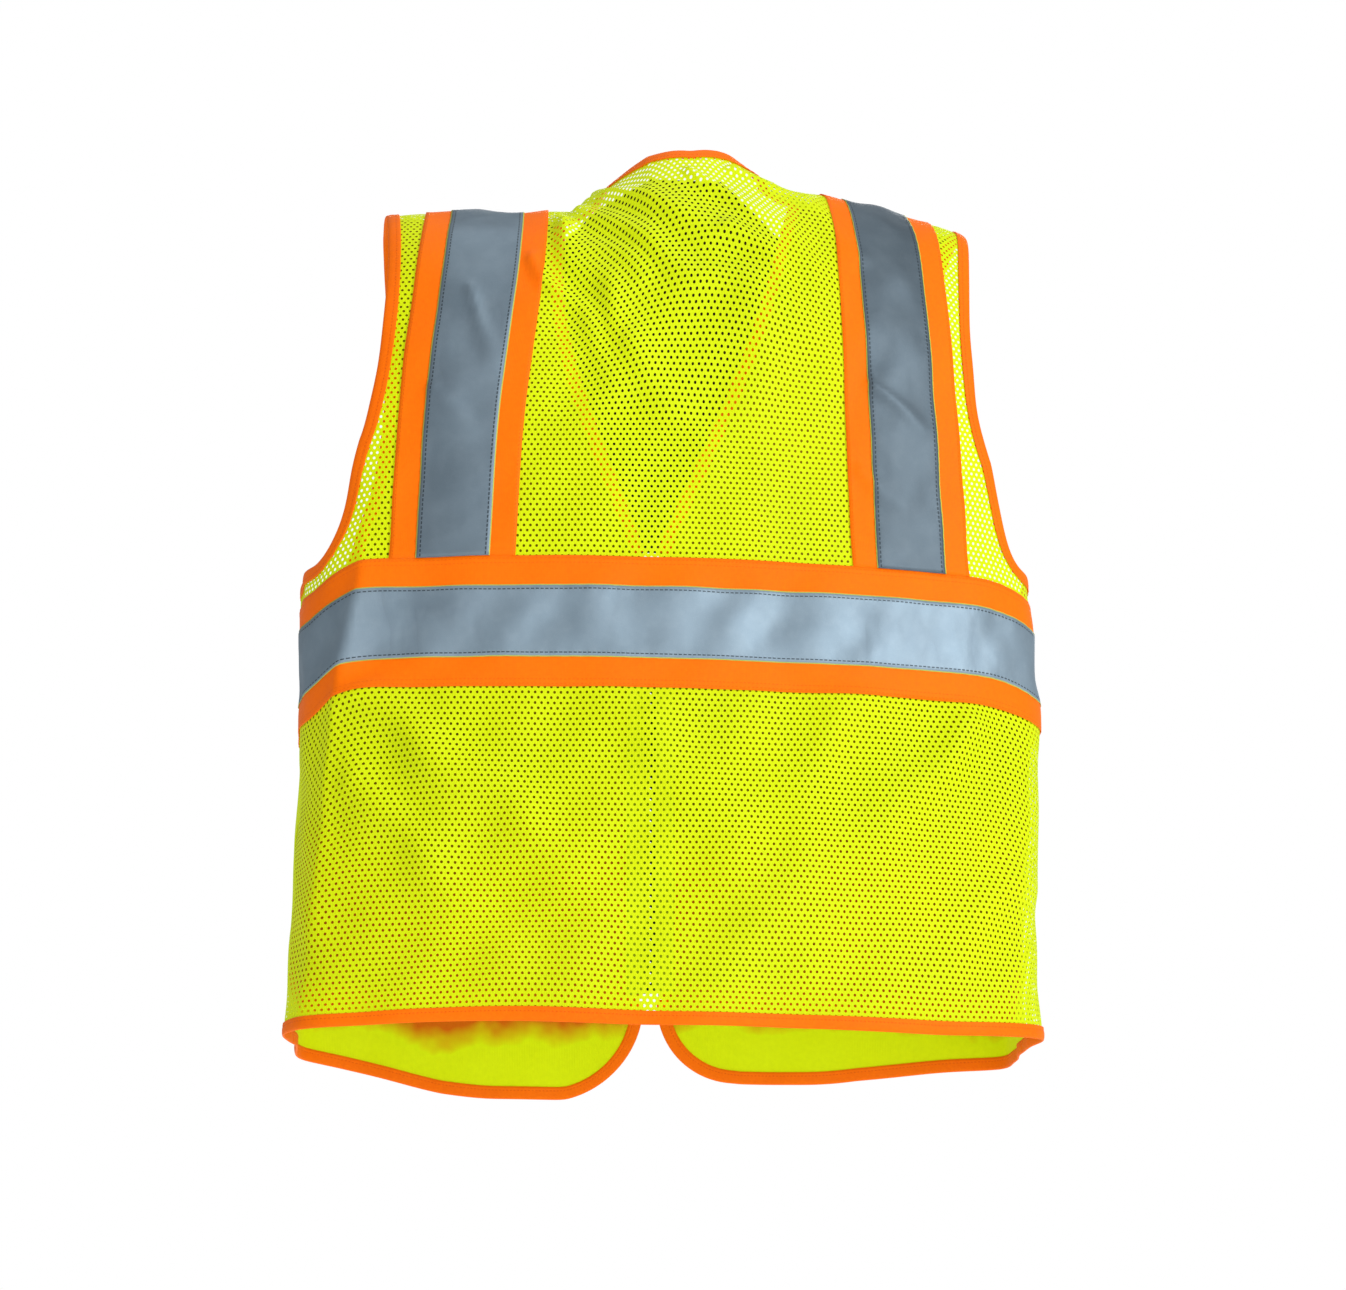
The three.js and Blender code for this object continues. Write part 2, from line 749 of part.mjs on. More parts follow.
// The pull hangs from a bar under the slider's bridge.
function pullTab() {
  const shape = new THREE.Shape();
  const half = pullWidth / 2;
  const top = pullThickness / 2;
  const bottom = top - pullLength;
  const tip = half * pullTaper;
  shape.moveTo(-half, top);
  shape.lineTo(-tip, bottom + tip);
  shape.absarc(0, bottom + tip, tip, Math.PI, 2 * Math.PI, false);
  shape.lineTo(half, top);
  shape.closePath();
  const eye = new THREE.Path();
  const eyeHalf = bridgeWidth / 2 + layerGap;
  const eyeBottom = -(bridgeLength / 2 + eyeEnd);
  eye.moveTo(-eyeHalf, -top);
  eye.lineTo(-eyeHalf, eyeBottom);
  eye.lineTo(eyeHalf, eyeBottom);
  eye.lineTo(eyeHalf, -top);
  eye.closePath();
  const grip = new THREE.Path();
  grip.absarc(0, bottom + gripHoleRise, gripHoleRadius, 0, 2 * Math.PI, true);
  shape.holes.push(eye, grip);
  const flat = new THREE.ExtrudeGeometry(shape, {
    depth: pullThickness,
    bevelEnabled: false,
    curveSegments: 6,
  });
  return solidOf(flat.translate(0, 0, -pullThickness / 2).rotateX(Math.PI / 2));
}

// ---- Pockets ----

const lowerFlapTop = waistTrimBottom - lowerFlapGap;
const lowerPocket = {
  left: lowerPocketInnerX,
  right: lowerPocketInnerX + lowerPocketWidth,
  top: lowerFlapTop - lowerFlapLift,
  bottom: backHem + bindingWidth + lowerPocketHemGap,
  floor: trimFloor,
  flapTop: lowerFlapTop,
  flapDrop: lowerFlapDrop,
  gripWidth: lowerGripWidth,
};
const chestPocket = {
  left: frontStrapBottomX - chestPocketWidth / 2,
  right: frontStrapBottomX + chestPocketWidth / 2,
  top: chestFlapTop - chestFlapLift,
  bottom: waistTrimTop + chestPocketWaistGap,
  floor: overTape,
  flapTop: chestFlapTop,
  flapDrop: chestFlapDrop,
  gripWidth: chestGripWidth,
};

function patchPocket({ left, right, top, bottom, floor }) {
  const cloth = layer(frontSide, floor, floor + pocketThickness);
  return cloth.intersect(prism(pocketOutline(left, right, bottom, top), frontSide));
}

// Loop side of the closure, sewn to the pocket behind the flap.
const gripCentre = (pocket) => pocket.flapTop - pocket.flapDrop + gripHeight / 2 + gripRise;
function loopPatch(pocket) {
  const floor = pocket.floor + pocketThickness + layerGap;
  const middle = (pocket.left + pocket.right) / 2;
  const half = pocket.gripWidth / 2;
  const low = gripCentre(pocket) - gripHeight / 2;
  const outline = rectangle(middle - half, middle + half, low, low + gripHeight);
  return layer(frontSide, floor, floor + gripThickness).intersect(prism(outline, frontSide));
}

// Depth of a layer above the front's inside face, on the flat of the front.
const flapInner = (pocket) =>
  frontDepth + pocket.floor + pocketThickness + 2 * (gripThickness + layerGap) + layerGap;
const flapHinge = (pocket) => [
  (pocket.left + pocket.right) / 2,
  -(flapInner(pocket) + flapThickness / 2),
  pocket.flapTop,
];

// The flap's own frame: origin on the stitch line along its top edge.
function pocketFlap(pocket, overhang) {
  const half = (pocket.right - pocket.left) / 2 + overhang;
  const top = flapThickness / 2;
  const points = pocketOutline(-half, half, -pocket.flapDrop, top);
  const shape = new THREE.Shape(points.map(([x, z]) => new THREE.Vector2(x, z)));
  const flat = new THREE.ExtrudeGeometry(shape, { depth: flapThickness, bevelEnabled: false });
  return solidOf(flat.translate(0, 0, -flapThickness / 2).rotateX(Math.PI / 2));
}

function hookPatch(pocket) {
  const y = flapThickness / 2 + layerGap + gripThickness / 2;
  const z = gripCentre(pocket) - pocket.flapTop;
  return solidOf(box(pocket.gripWidth, gripThickness, gripHeight, 0, y, z));
}

function addFlap(side, name, pocket, overhang) {
  const hinge = new THREE.Group();
  const [x, y, z] = flapHinge(pocket);
  hinge.position.set(side * x, y, z);
  addMesh(name + "_flap", geometryOf(pocketFlap(pocket, overhang)), lime, hinge);
  addMesh(name + "_flap_hook", geometryOf(hookPatch(pocket)), blackNylon, hinge);
  group.add(hinge);
}

// A flat tab of webbing over the left strap, leaning back as the chest does there.
function addMicrophoneTab(side, name) {
  const ends = [tabHeight / 2, -tabHeight / 2].map((offset) => {
    const z = tabCentreHeight + offset;
    return bodyPoint(frontSide, angleAt(frontSide, strapTopX), rowAt(strapTopX, z));
  });
  const lean = Math.atan2(ends[0].y - ends[1].y, ends[0].z - ends[1].z);
  const middle = ends[0].clone().add(ends[1]).multiplyScalar(0.5);
  const tab = new THREE.Group();
  tab.position.set(side * strapTopX, middle.y, middle.z);
  tab.rotation.x = -lean;
  const y = -(overTape + tabClearance + tabThickness / 2);
  const webbing = new THREE.BoxGeometry(tabWidth, tabThickness, tabHeight).translate(0, y, 0);
  addMesh(name, webbing, blackNylon, tab);
  group.add(tab);
}

addMesh("back_panel", geometryOf(backPanel()), limeMesh);
addPair("SIDE_front_panel", leftFrontPanel(), lime);
addMesh("neck_binding", geometryOf(neckBinding()), orange);
addPair("SIDE_armhole_binding", armholeBinding(), orange);
addMesh("back_hem_binding", geometryOf(backHemBinding()), orange);
addPair("SIDE_front_hem_binding", leftFrontHemBinding(), orange);

for (const [name, side, bottomX] of [
  ["back", backSide, backStrapBottomX],
  ["front", frontSide, frontStrapBottomX],
]) {
  const trim = prism(strapOutline(bottomX, strapTrimWidth / 2), side);
  const tape = prism(strapOutline(bottomX, tapeWidth / 2), side);
  addPair(`SIDE_${name}_strap_trim`, trimLayer(side).intersect(trim), orange);
  addPair(`SIDE_${name}_strap_tape`, tapeLayer(side).intersect(tape), silver);
}
const backTrim = rectangle(-pastSide, pastSide, waistTrimBottom, waistTrimTop);
const backTape = rectangle(-pastSide, pastSide, waistTapeBottom, waistTapeTop);
const frontTrim = rectangle(frontEdge, pastSide, waistTrimBottom, waistTrimTop);
const frontTape = rectangle(frontEdge, pastSide, waistTapeBottom, waistTapeTop);
const backTrimBand = trimLayer(backSide).intersect(prism(backTrim, backSide));
const backTapeBand = tapeLayer(backSide).intersect(prism(backTape, backSide));
addMesh("back_waist_trim", geometryOf(backTrimBand), orange);
addMesh("back_waist_tape", geometryOf(backTapeBand), silver);
addPair("SIDE_waist_trim", trimLayer(frontSide).intersect(prism(frontTrim, frontSide)), orange);
addPair("SIDE_waist_tape", tapeLayer(frontSide).intersect(prism(frontTape, frontSide)), silver);

addPair("SIDE_zipper_tape", zipperTape(), zipperCloth);
addMesh("left_zipper_teeth", geometryOf(teethRow(0)), blackPlastic);
addMesh("right_zipper_teeth", geometryOf(mirrorSolid(teethRow(toothPitch / 2))), blackPlastic);
addPair("SIDE_zipper_top_stop", topStop(), blackPlastic);
addMesh("zipper_retainer_box", geometryOf(retainerBox()), blackPlastic);
addMesh("zipper_insertion_pin", geometryOf(insertionPin()), blackPlastic);
const slider = new THREE.Group();
slider.position.set(0, pivotY, sliderZ);
addMesh("zipper_slider", geometryOf(sliderBody()), blackPaint, slider);
addMesh("zipper_pull", geometryOf(pullTab()), blackPaint, slider);
group.add(slider);

addPair("SIDE_lower_pocket", patchPocket(lowerPocket), lime);
addPair("SIDE_lower_pocket_loop", loopPatch(lowerPocket), blackNylon);
addFlap(1, "left_lower_pocket", lowerPocket, lowerFlapOverhang);
addFlap(-1, "right_lower_pocket", lowerPocket, lowerFlapOverhang);
addMesh("radio_pocket", geometryOf(patchPocket(chestPocket)), lime);
addMesh("radio_pocket_loop", geometryOf(loopPatch(chestPocket)), blackNylon);
addFlap(1, "radio_pocket", chestPocket, chestFlapOverhang);
addMesh("pen_pocket", geometryOf(mirrorSolid(patchPocket(chestPocket))), lime);
addMicrophoneTab(1, "left_microphone_tab");
addMicrophoneTab(-1, "right_microphone_tab");

export default group;
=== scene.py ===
import math

import bmesh
import bpy
import numpy as np
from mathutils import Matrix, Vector


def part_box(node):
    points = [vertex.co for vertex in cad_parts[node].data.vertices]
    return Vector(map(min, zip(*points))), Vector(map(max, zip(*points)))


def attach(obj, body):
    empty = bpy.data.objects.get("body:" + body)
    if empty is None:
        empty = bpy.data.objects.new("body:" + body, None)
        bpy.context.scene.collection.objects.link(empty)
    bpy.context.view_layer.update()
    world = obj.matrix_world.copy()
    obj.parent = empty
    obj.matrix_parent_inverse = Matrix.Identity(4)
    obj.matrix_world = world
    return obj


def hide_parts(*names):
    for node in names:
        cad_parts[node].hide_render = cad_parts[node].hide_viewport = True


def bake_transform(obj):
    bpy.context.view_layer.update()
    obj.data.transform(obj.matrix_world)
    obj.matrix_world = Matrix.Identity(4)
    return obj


hands = {"left": 1, "right": -1}  # the sign of x on the wearer's left and right

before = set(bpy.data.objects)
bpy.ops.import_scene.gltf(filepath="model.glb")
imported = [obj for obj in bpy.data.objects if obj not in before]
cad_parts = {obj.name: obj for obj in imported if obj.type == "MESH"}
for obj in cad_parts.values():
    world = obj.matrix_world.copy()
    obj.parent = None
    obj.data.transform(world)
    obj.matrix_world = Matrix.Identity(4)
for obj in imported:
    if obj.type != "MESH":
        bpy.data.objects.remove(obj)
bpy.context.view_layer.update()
bpy.ops.object.select_all(action="DESELECT")
print("frame loaded,", len(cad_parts), "nodes")


# The garment is made as worn: the wearer faces -Y, and the wearer's left is +X.
body = {
    "halfWidth": 0.254,
    "chestHeight": -0.2,  # above this the cloth curves in to the shoulder seams
    "chestRoundness": 2.5,
    "neckRise": 0.047,
    "neckSpread": 0.048,
    "shoulderHalfWidth": 0.213,
    "shoulderDrop": 0.018,
}
pattern = {
    "neckHalfWidth": 0.087,
    "backNeckHeight": 0.017,
    "vNeckBottom": -0.226,
    "armholeBottom": -0.278,
    "armholeFlare": 0.012,
    "armholeLevel": 0.009,
    "backHem": -0.611,
    "frontHemDrop": 0.016,
    "cornerRadius": 0.062,
    "frontEdge": 0.006,
    "bindingEnd": -0.5627,  # top of the front hem's binding on the front edge
}
backSide = {"sign": 1, "depth": 0.118, "power": 4.6, "crown": 0.2, "armholeInset": 0.006}
frontSide = {"sign": -1, "depth": 0.115, "power": 8.0, "crown": 0.02, "armholeInset": 0.01}


def shoulderLine(x):
    rise = body["neckRise"] * np.exp(-((x / body["neckSpread"]) ** 2))
    return rise - body["shoulderDrop"] * (np.abs(x) / body["shoulderHalfWidth"]) ** 2.2


def lengthsAlong(points):
    steps = np.linalg.norm(np.diff(points, axis=0), axis=1)
    return np.concatenate([[0], np.cumsum(steps)])


def measureSide(side):  # tables of length across the body, and of length down from the shoulder
    share = 1 - (1 - np.linspace(0, 1, 3000)) ** 6  # close together near the side seam
    side["x"] = body["halfWidth"] * share
    side["y"] = side["depth"] * (1 - share ** side["power"]) ** (1 / side["power"])
    side["y"] *= 1 - side["crown"] * share ** 2
    side["across"] = lengthsAlong(np.stack([side["x"], side["y"]], 1))
    side["half"] = side["across"][-1]
    turn = np.linspace(math.pi / 2, 0, 2000)
    side["up"] = np.sin(turn) ** (2 / body["chestRoundness"])
    side["out"] = np.abs(np.cos(turn)) ** (2 / body["chestRoundness"])
    rise = float(shoulderLine(np.array(0.1))) - body["chestHeight"]
    side["down"] = lengthsAlong(np.stack([side["depth"] * side["out"], rise * side["up"]], 1))
    side["chest"] = side["down"][-1]


measureSide(backSide)
measureSide(frontSide)
backSide["other"], frontSide["other"] = frontSide, backSide


def onSide(side, across, down):
    size = np.abs(across)
    x = np.sign(across) * np.interp(size, side["across"], side["x"])
    y = side["sign"] * np.interp(size, side["across"], side["y"])
    up = np.interp(down, side["down"], side["up"])
    out = np.interp(down, side["down"], side["out"])
    z = body["chestHeight"] + (shoulderLine(x) - body["chestHeight"]) * up
    return np.stack([x, y * out, z - np.maximum(down - side["chest"], 0)], -1)


def place(side, across, down):  # past the side seam or the shoulder it goes on over the other side
    across, down = np.broadcast_arrays(np.asarray(across, float), np.asarray(down, float))
    other = side["other"]
    points = onSide(side, across, np.maximum(down, 0))
    beside = np.abs(across) > side["half"]
    if beside.any():
        rest = np.sign(across) * (side["half"] + other["half"] - np.abs(across))
        points[beside] = onSide(other, rest[beside], (down - side["chest"] + other["chest"])[beside])
    above = (down < 0) & ~beside
    if above.any():
        over = np.sign(across) * np.interp(np.abs(points[..., 0]), other["x"], other["across"])
        points[above] = onSide(other, over[above], -down[above])
    return points


def slopes(side, across, down, step=0.0004):
    along = place(side, across + step, down) - place(side, across - step, down)
    below = place(side, across, down + step) - place(side, across, down - step)
    return along / (2 * step), below / (2 * step)


def outward(side, across, down):
    along, below = slopes(side, across, down)
    normal = np.cross(along, below) * side["sign"]
    return normal / np.linalg.norm(normal, axis=-1, keepdims=True)


def patternAt(side, x, z):  # the place on the pattern of a point seen from the front or back
    x, z = np.broadcast_arrays(np.asarray(x, float), np.asarray(z, float))
    across = np.sign(x) * np.interp(np.abs(x), side["x"], side["across"])
    up = np.clip((z - body["chestHeight"]) / (shoulderLine(x) - body["chestHeight"]), 0, 1)
    down = np.interp(-up, -side["up"], side["down"])
    return across, down + np.maximum(body["chestHeight"] - z, 0)


drape = {
    "broad": 0.0034,  # height of the broad waves
    "small": 0.0011,
    "tapeCrumple": 0.0005,
    "tapeReach": 0.035,  # how far from a tape's middle its crumpling goes
    "sideSag": 0.016,  # how far the sides hang below the rest at the waist
    "folds": 1.7,  # times the heights of the folds below
    "cornerCrease": 0.011,
    "creaseWidth": 0.014,
    "creaseRound": 0.0015,
    "calmZipper": 0.028,  # half width of the flat strip by the zipper
    "creaseDown": [0.31, 0.4, 0.6],  # the crease at the wearer's left back corner: how far down,
    "creaseX": [0.2155, 0.231, 0.243],  # and how far from the middle
    "hemX": [-0.25, -0.15, -0.06, 0, 0.06, 0.15, 0.25],
    "hemShift": [0, 0.006, 0.006, 0, -0.007, -0.007, 0],  # of the fronts
    "hemWave": 0.0025,  # of the back
}
shoulders = {  # from the wearer's right to left: sideways and upward shift of the shoulders and the neck
    "x": [-0.213, -0.142, -0.085, -0.06, -0.03, 0, 0.03, 0.055, 0.085, 0.142, 0.213],
    "lean": [0.001, 0.001, -0.005, -0.007, -0.009, -0.009, -0.009, -0.01, -0.012, -0.012, -0.008],
    "tilt": [-0.004, 0.006, 0.013, 0.013, 0.008, 0.001, 0.003, -0.004, -0.015, -0.011, 0.001],
}
backFolds = [  # start and end (x, z), width, height
    ((0.085, -0.03), (-0.05, -0.13), 0.011, 0.0045),
    ((0.09, -0.045), (0.03, -0.16), 0.009, 0.0035),
    ((0.075, -0.015), (-0.09, -0.1), 0.012, 0.003),
    ((0.1, -0.035), (0.035, -0.095), 0.0055, 0.0032),
    ((0.07, -0.005), (-0.01, -0.06), 0.006, 0.0028),
    ((0.11, -0.07), (0.05, -0.17), 0.008, 0.0026),
    ((0.0, -0.012), (-0.085, -0.085), 0.007, 0.003),
    ((-0.035, -0.005), (-0.12, -0.07), 0.0065, 0.0032),
    ((-0.02, -0.06), (-0.1, -0.16), 0.009, 0.0024),
    ((0.16, -0.1), (0.13, -0.17), 0.006, 0.0016),
    ((-0.13, -0.16), (-0.17, -0.19), 0.005, 0.0015),
    ((-0.12, -0.235), (-0.16, -0.26), 0.0055, 0.0016),
    ((0.17, -0.17), (0.12, -0.22), 0.006, 0.0014),
    ((0.03, -0.14), (-0.05, -0.29), 0.016, 0.0025),
    ((0.21, -0.39), (0.06, -0.53), 0.018, 0.005),
    ((0.22, -0.45), (0.1, -0.6), 0.016, 0.0035),
    ((0.03, -0.4), (-0.06, -0.55), 0.02, 0.0035),
    ((-0.2, -0.4), (-0.07, -0.55), 0.02, 0.0045),
    ((-0.12, -0.39), (-0.02, -0.6), 0.02, 0.003),
    ((-0.23, -0.5), (-0.12, -0.62), 0.02, 0.003),
]
frontFolds = [
    ((0.2, -0.23), (0.09, -0.29), 0.014, 0.004),
    ((-0.2, -0.22), (-0.1, -0.29), 0.014, 0.004),
    ((0.23, -0.4), (0.14, -0.42), 0.012, 0.002),
    ((-0.23, -0.41), (-0.14, -0.42), 0.012, 0.002),
]


def ease(value, low, high):
    share = np.clip((value - low) / (high - low), 0, 1)
    return share * share * (3 - 2 * share)


def waves(points, seed, size, count=7):  # smooth and repeatable, from about -1 to 1
    chance = np.random.default_rng(seed)
    total = np.zeros(points.shape[:-1])
    for _ in range(count):
        direction = chance.normal(size=3)
        direction *= 2 * math.pi / size * chance.uniform(0.6, 1.5) / np.linalg.norm(direction)
        total += np.sin(points @ direction + chance.uniform(0, 2 * math.pi))
    return total / math.sqrt(count)


def foldHeight(points, folds):
    total = np.zeros(points.shape[:-1])
    bend = 0.006 * np.stack([waves(points, 11, 0.09), waves(points, 12, 0.09)], -1)
    flat = points[..., [0, 2]] + bend
    for start, end, width, height in folds:
        start, end = np.array(start), np.array(end)
        run = end - start
        share = np.clip(((flat - start) @ run) / (run @ run), 0, 1)
        gap = np.linalg.norm(flat - start - share[..., None] * run, axis=-1)
        spread = width * (0.7 + 0.8 * share)
        total += height * (1 - 0.6 * share) * np.exp(-((gap / spread) ** 2))
    return total


def hang(points, normals):  # moves points of the plain shape to where the cloth hangs
    x, y, z = np.moveaxis(points, -1, 0)
    atBack = ease(y, -0.03, 0.05)
    atFront = 1 - ease(y, -0.07, -0.03)
    calm = 1 - atFront * (1 - ease(np.abs(x), drape["calmZipper"], 0.09))
    height = drape["broad"] * waves(points, 3, 0.19) + drape["small"] * waves(points, 5, 0.05)
    height *= 1 - 0.45 * atFront
    folded = atBack * foldHeight(points, backFolds) + atFront * foldHeight(points, frontFolds)
    height += drape["folds"] * folded
    waistTapeZ = trim["waistTop"] - trim["tapeDrop"] - trim["tapeWidth"] / 2
    nearWaistTape = np.exp(-(((z - waistTapeZ) / drape["tapeReach"]) ** 4))
    strapX = trim["strapTop"] + 0.012 * ease(-z, 0.02, 0.3) * atBack
    nearStrapTape = np.exp(-(((np.abs(x) - strapX) / drape["tapeReach"]) ** 4))
    nearStrapTape = nearStrapTape * ease(z, -0.31, -0.27)
    nearTape = np.maximum(nearWaistTape, nearStrapTape)
    height += drape["tapeCrumple"] * nearTape * waves(points * [1, 1, 0.8], 8, 0.032)
    creaseX = np.interp(-z, drape["creaseDown"], drape["creaseX"])
    fromCrease = np.sqrt((x - creaseX) ** 2 + drape["creaseRound"] ** 2)
    corner = np.exp(-fromCrease / drape["creaseWidth"]) * ease(y, 0.0, 0.05)
    height += drape["cornerCrease"] * corner * ease(-z, 0.24, 0.33) * (1 - 0.5 * ease(-z, 0.4, 0.6))
    moved = points + normals * (height * calm)[..., None]
    upper = ease(z, -0.24, -0.02)
    moved[..., 0] += ease(z, -0.235, 0) * np.interp(x, shoulders["x"], shoulders["lean"])
    moved[..., 2] += upper * np.interp(x, shoulders["x"], shoulders["tilt"])
    beside = ease(np.abs(x), 0.2, 0.25) * (1 - ease(np.abs(y), 0.05, 0.11)) * np.where(x > 0, 1, 0.5)
    moved[..., 2] -= drape["sideSag"] * beside * ease(-z, 0.2, 0.29) * (1 - ease(-z, 0.42, 0.58))
    hemLow = ease(-z, 0.47, 0.6)
    moved[..., 2] += hemLow * atFront * np.interp(x, drape["hemX"], drape["hemShift"])
    moved[..., 2] += hemLow * atBack * drape["hemWave"] * waves(points, 21, 0.16)
    return moved


def clothAt(side, across, down, lift=0.0):
    points = place(side, across, down)
    normals = outward(side, across, down)
    return hang(points, normals) + normals * np.asarray(lift)[..., None]


# The cutting lines below are those of the wearer's left, as arrays of (across, down).
def bezier(start, firstPull, secondPull, end, count=60):
    share = np.linspace(0, 1, count)[:, None]
    points = [np.array(p, float) for p in (start, firstPull, secondPull, end)]
    weights = [(1 - share) ** 3, 3 * share * (1 - share) ** 2, 3 * share ** 2 * (1 - share), share ** 3]
    return sum(w * p for w, p in zip(weights, points))


def onPattern(side, line):
    across, down = patternAt(side, line[:, 0], line[:, 1])
    return np.stack([across, down], 1)


neckPoint = (pattern["neckHalfWidth"], float(shoulderLine(np.array(pattern["neckHalfWidth"]))))
shoulderTip = (body["shoulderHalfWidth"], float(shoulderLine(np.array(body["shoulderHalfWidth"]))))
width, rise, deep = pattern["neckHalfWidth"], pattern["backNeckHeight"], pattern["vNeckBottom"]
backCurve = bezier((0, rise), (0.52 * width, rise), (0.84 * width, 0.24 * rise), neckPoint)
vPoint = (pattern["frontEdge"], deep)
frontCurve = bezier(neckPoint, (0.92 * width, 0.3 * deep), (0.45 * width, 0.62 * deep), vPoint)
backNeck, frontNeck = onPattern(backSide, backCurve), onPattern(frontSide, frontCurve)


def armholeLine(side):  # from the shoulder tip down and under the arm to the side seam
    innerX = body["shoulderHalfWidth"] - side["armholeInset"]
    low = pattern["armholeBottom"]
    bend = (innerX + pattern["armholeFlare"], 0.76 * low)
    turnX = body["halfWidth"] - pattern["armholeLevel"]
    upper = bezier(shoulderTip, (innerX, shoulderTip[1] - 0.05), (innerX - 0.006, 0.6 * low), bend)
    lower = bezier(bend, (bend[0] + 0.009, 0.88 * low), (turnX - 0.016, low), (turnX, low))[1:]
    line = onPattern(side, np.concatenate([upper, lower]))
    level = np.linspace(line[-1, 0], side["half"], 25)[1:]
    return np.concatenate([line, np.stack([level, np.full(24, line[-1, 1])], 1)])


backArmhole, frontArmhole = armholeLine(backSide), armholeLine(frontSide)
backHemDown = float(patternAt(backSide, 0, pattern["backHem"])[1])
cornerX = pattern["frontEdge"] + pattern["cornerRadius"]
frontHem = pattern["backHem"] - pattern["frontHemDrop"]
turn = np.linspace(0, math.pi / 2, 24)[1:]
slope = np.linspace(0, 1, 30)
slopeX = body["halfWidth"] - 0.004 + slope * (cornerX + 0.04 - body["halfWidth"] + 0.004)
slopeZ = pattern["backHem"] - pattern["frontHemDrop"] * (1 - np.cos(slope * math.pi)) / 2
cornerLine = np.stack([
    cornerX - pattern["cornerRadius"] * np.sin(turn),
    frontHem + pattern["cornerRadius"] * (1 - np.cos(turn)),
], 1)
hemLine = np.concatenate([
    np.stack([slopeX, slopeZ], 1),
    [(cornerX + 0.02, frontHem), (cornerX, frontHem)],
    cornerLine,
    [(pattern["frontEdge"], pattern["bindingEnd"])],
])
frontHemDown = onPattern(frontSide, hemLine)
seamStart = [(frontSide["half"], float(patternAt(frontSide, 0, pattern["backHem"])[1]))]
frontHemDown = np.concatenate([seamStart, frontHemDown])


def mirrored(line):
    return line[::-1] * [-1, 1]


def inside(points, outline):  # which points lie inside a closed outline
    result = np.zeros(len(points), bool)
    ax, ay = outline[:, 0], outline[:, 1]
    bx, by = np.roll(ax, -1), np.roll(ay, -1)
    for i in range(len(outline)):
        if ay[i] == by[i]:
            continue
        between = (points[:, 1] < ay[i]) != (points[:, 1] < by[i])
        crossing = ax[i] + (points[:, 1] - ay[i]) * (bx[i] - ax[i]) / (by[i] - ay[i])
        result ^= between & (points[:, 0] < crossing)
    return result


def addObject(name, data):
    added = bpy.data.objects.new(name, data)
    bpy.context.scene.collection.objects.link(added)
    return added


def makePiece(name, points, faces, uv=None, material=None):
    mesh = bpy.data.meshes.new(name)
    faces = np.asarray(faces, np.int32)
    count, corners = faces.shape
    mesh.vertices.add(len(points))
    mesh.vertices.foreach_set("co", np.asarray(points, np.float32).ravel())
    mesh.loops.add(count * corners)
    mesh.loops.foreach_set("vertex_index", faces.ravel())
    mesh.polygons.add(count)
    mesh.polygons.foreach_set("loop_start", np.arange(0, count * corners, corners, dtype=np.int32))
    mesh.polygons.foreach_set("use_smooth", np.ones(count, bool))
    mesh.update(calc_edges=True)
    if uv is not None:
        layer = mesh.uv_layers.new(name="cloth")
        layer.data.foreach_set("uv", np.asarray(uv, np.float32)[faces.ravel()].ravel())
    piece = addObject(name, mesh)
    if material:
        mesh.materials.append(material)
    return piece


def gridFaces(rows, columns, closed=False):
    j, i = np.meshgrid(np.arange(rows - (0 if closed else 1)), np.arange(columns - 1), indexing="ij")
    a = (j * columns + i).ravel()
    b = (((j + 1) % rows) * columns + i).ravel()
    return np.stack([a, b, b + 1, a + 1], 1)


def withoutLoose(points, faces, uv):
    used, renumbered = np.unique(faces, return_inverse=True)
    return points[used], renumbered.reshape(faces.shape), uv[used]


def asVector(values):
    return Vector([float(value) for value in values])


def useModifier(piece, kind, **settings):
    modifier = piece.modifiers.new(kind.title(), kind)
    for key, value in settings.items():
        setattr(modifier, key, value)
    bpy.context.view_layer.objects.active = piece
    bpy.ops.object.modifier_apply(modifier=modifier.name)


def thicken(piece, thickness, inner=None):
    if inner:
        piece.data.materials.append(inner)
    # the made surface is the cloth's inner face
    useModifier(piece, "SOLIDIFY", thickness=thickness, offset=1, use_even_offset=False,
                material_offset=1 if inner else 0, material_offset_rim=0)


def finishCloth(piece, nodes, flat, carrier="garment"):
    if isinstance(carrier, str):
        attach(piece, carrier)
    else:
        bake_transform(piece)
    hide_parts(*nodes)


class Maths:  # a value in a shader, used in sums like a number
    def __init__(self, look, socket):
        self.look, self.socket = look, socket

    def combine(self, operation, first, second=None):
        inputs = {0: first} if second is None else {0: first, 1: second}
        return self.look.add("ShaderNodeMath", {"operation": operation}, inputs)

    def __add__(self, other):
        return self.combine("ADD", self, other)

    def __radd__(self, other):
        return self.combine("ADD", other, self)

    def __sub__(self, other):
        return self.combine("SUBTRACT", self, other)

    def __rsub__(self, other):
        return self.combine("SUBTRACT", other, self)

    def __mul__(self, other):
        return self.combine("MULTIPLY", self, other)

    def __rmul__(self, other):
        return self.combine("MULTIPLY", other, self)

    def __truediv__(self, other):
        return self.combine("DIVIDE", self, other)

    def __lt__(self, other):
        return self.combine("LESS_THAN", self, other)

    def __gt__(self, other):
        return self.combine("GREATER_THAN", self, other)

    def __mod__(self, other):
        return self.combine("FLOORED_MODULO", self, other)

    def __abs__(self):
        return self.combine("ABSOLUTE", self)

    def cosine(self):
        return self.combine("COSINE", self)

    def clipped(self):
        return self.combine("MINIMUM", self.combine("MAXIMUM", self, 0), 1)


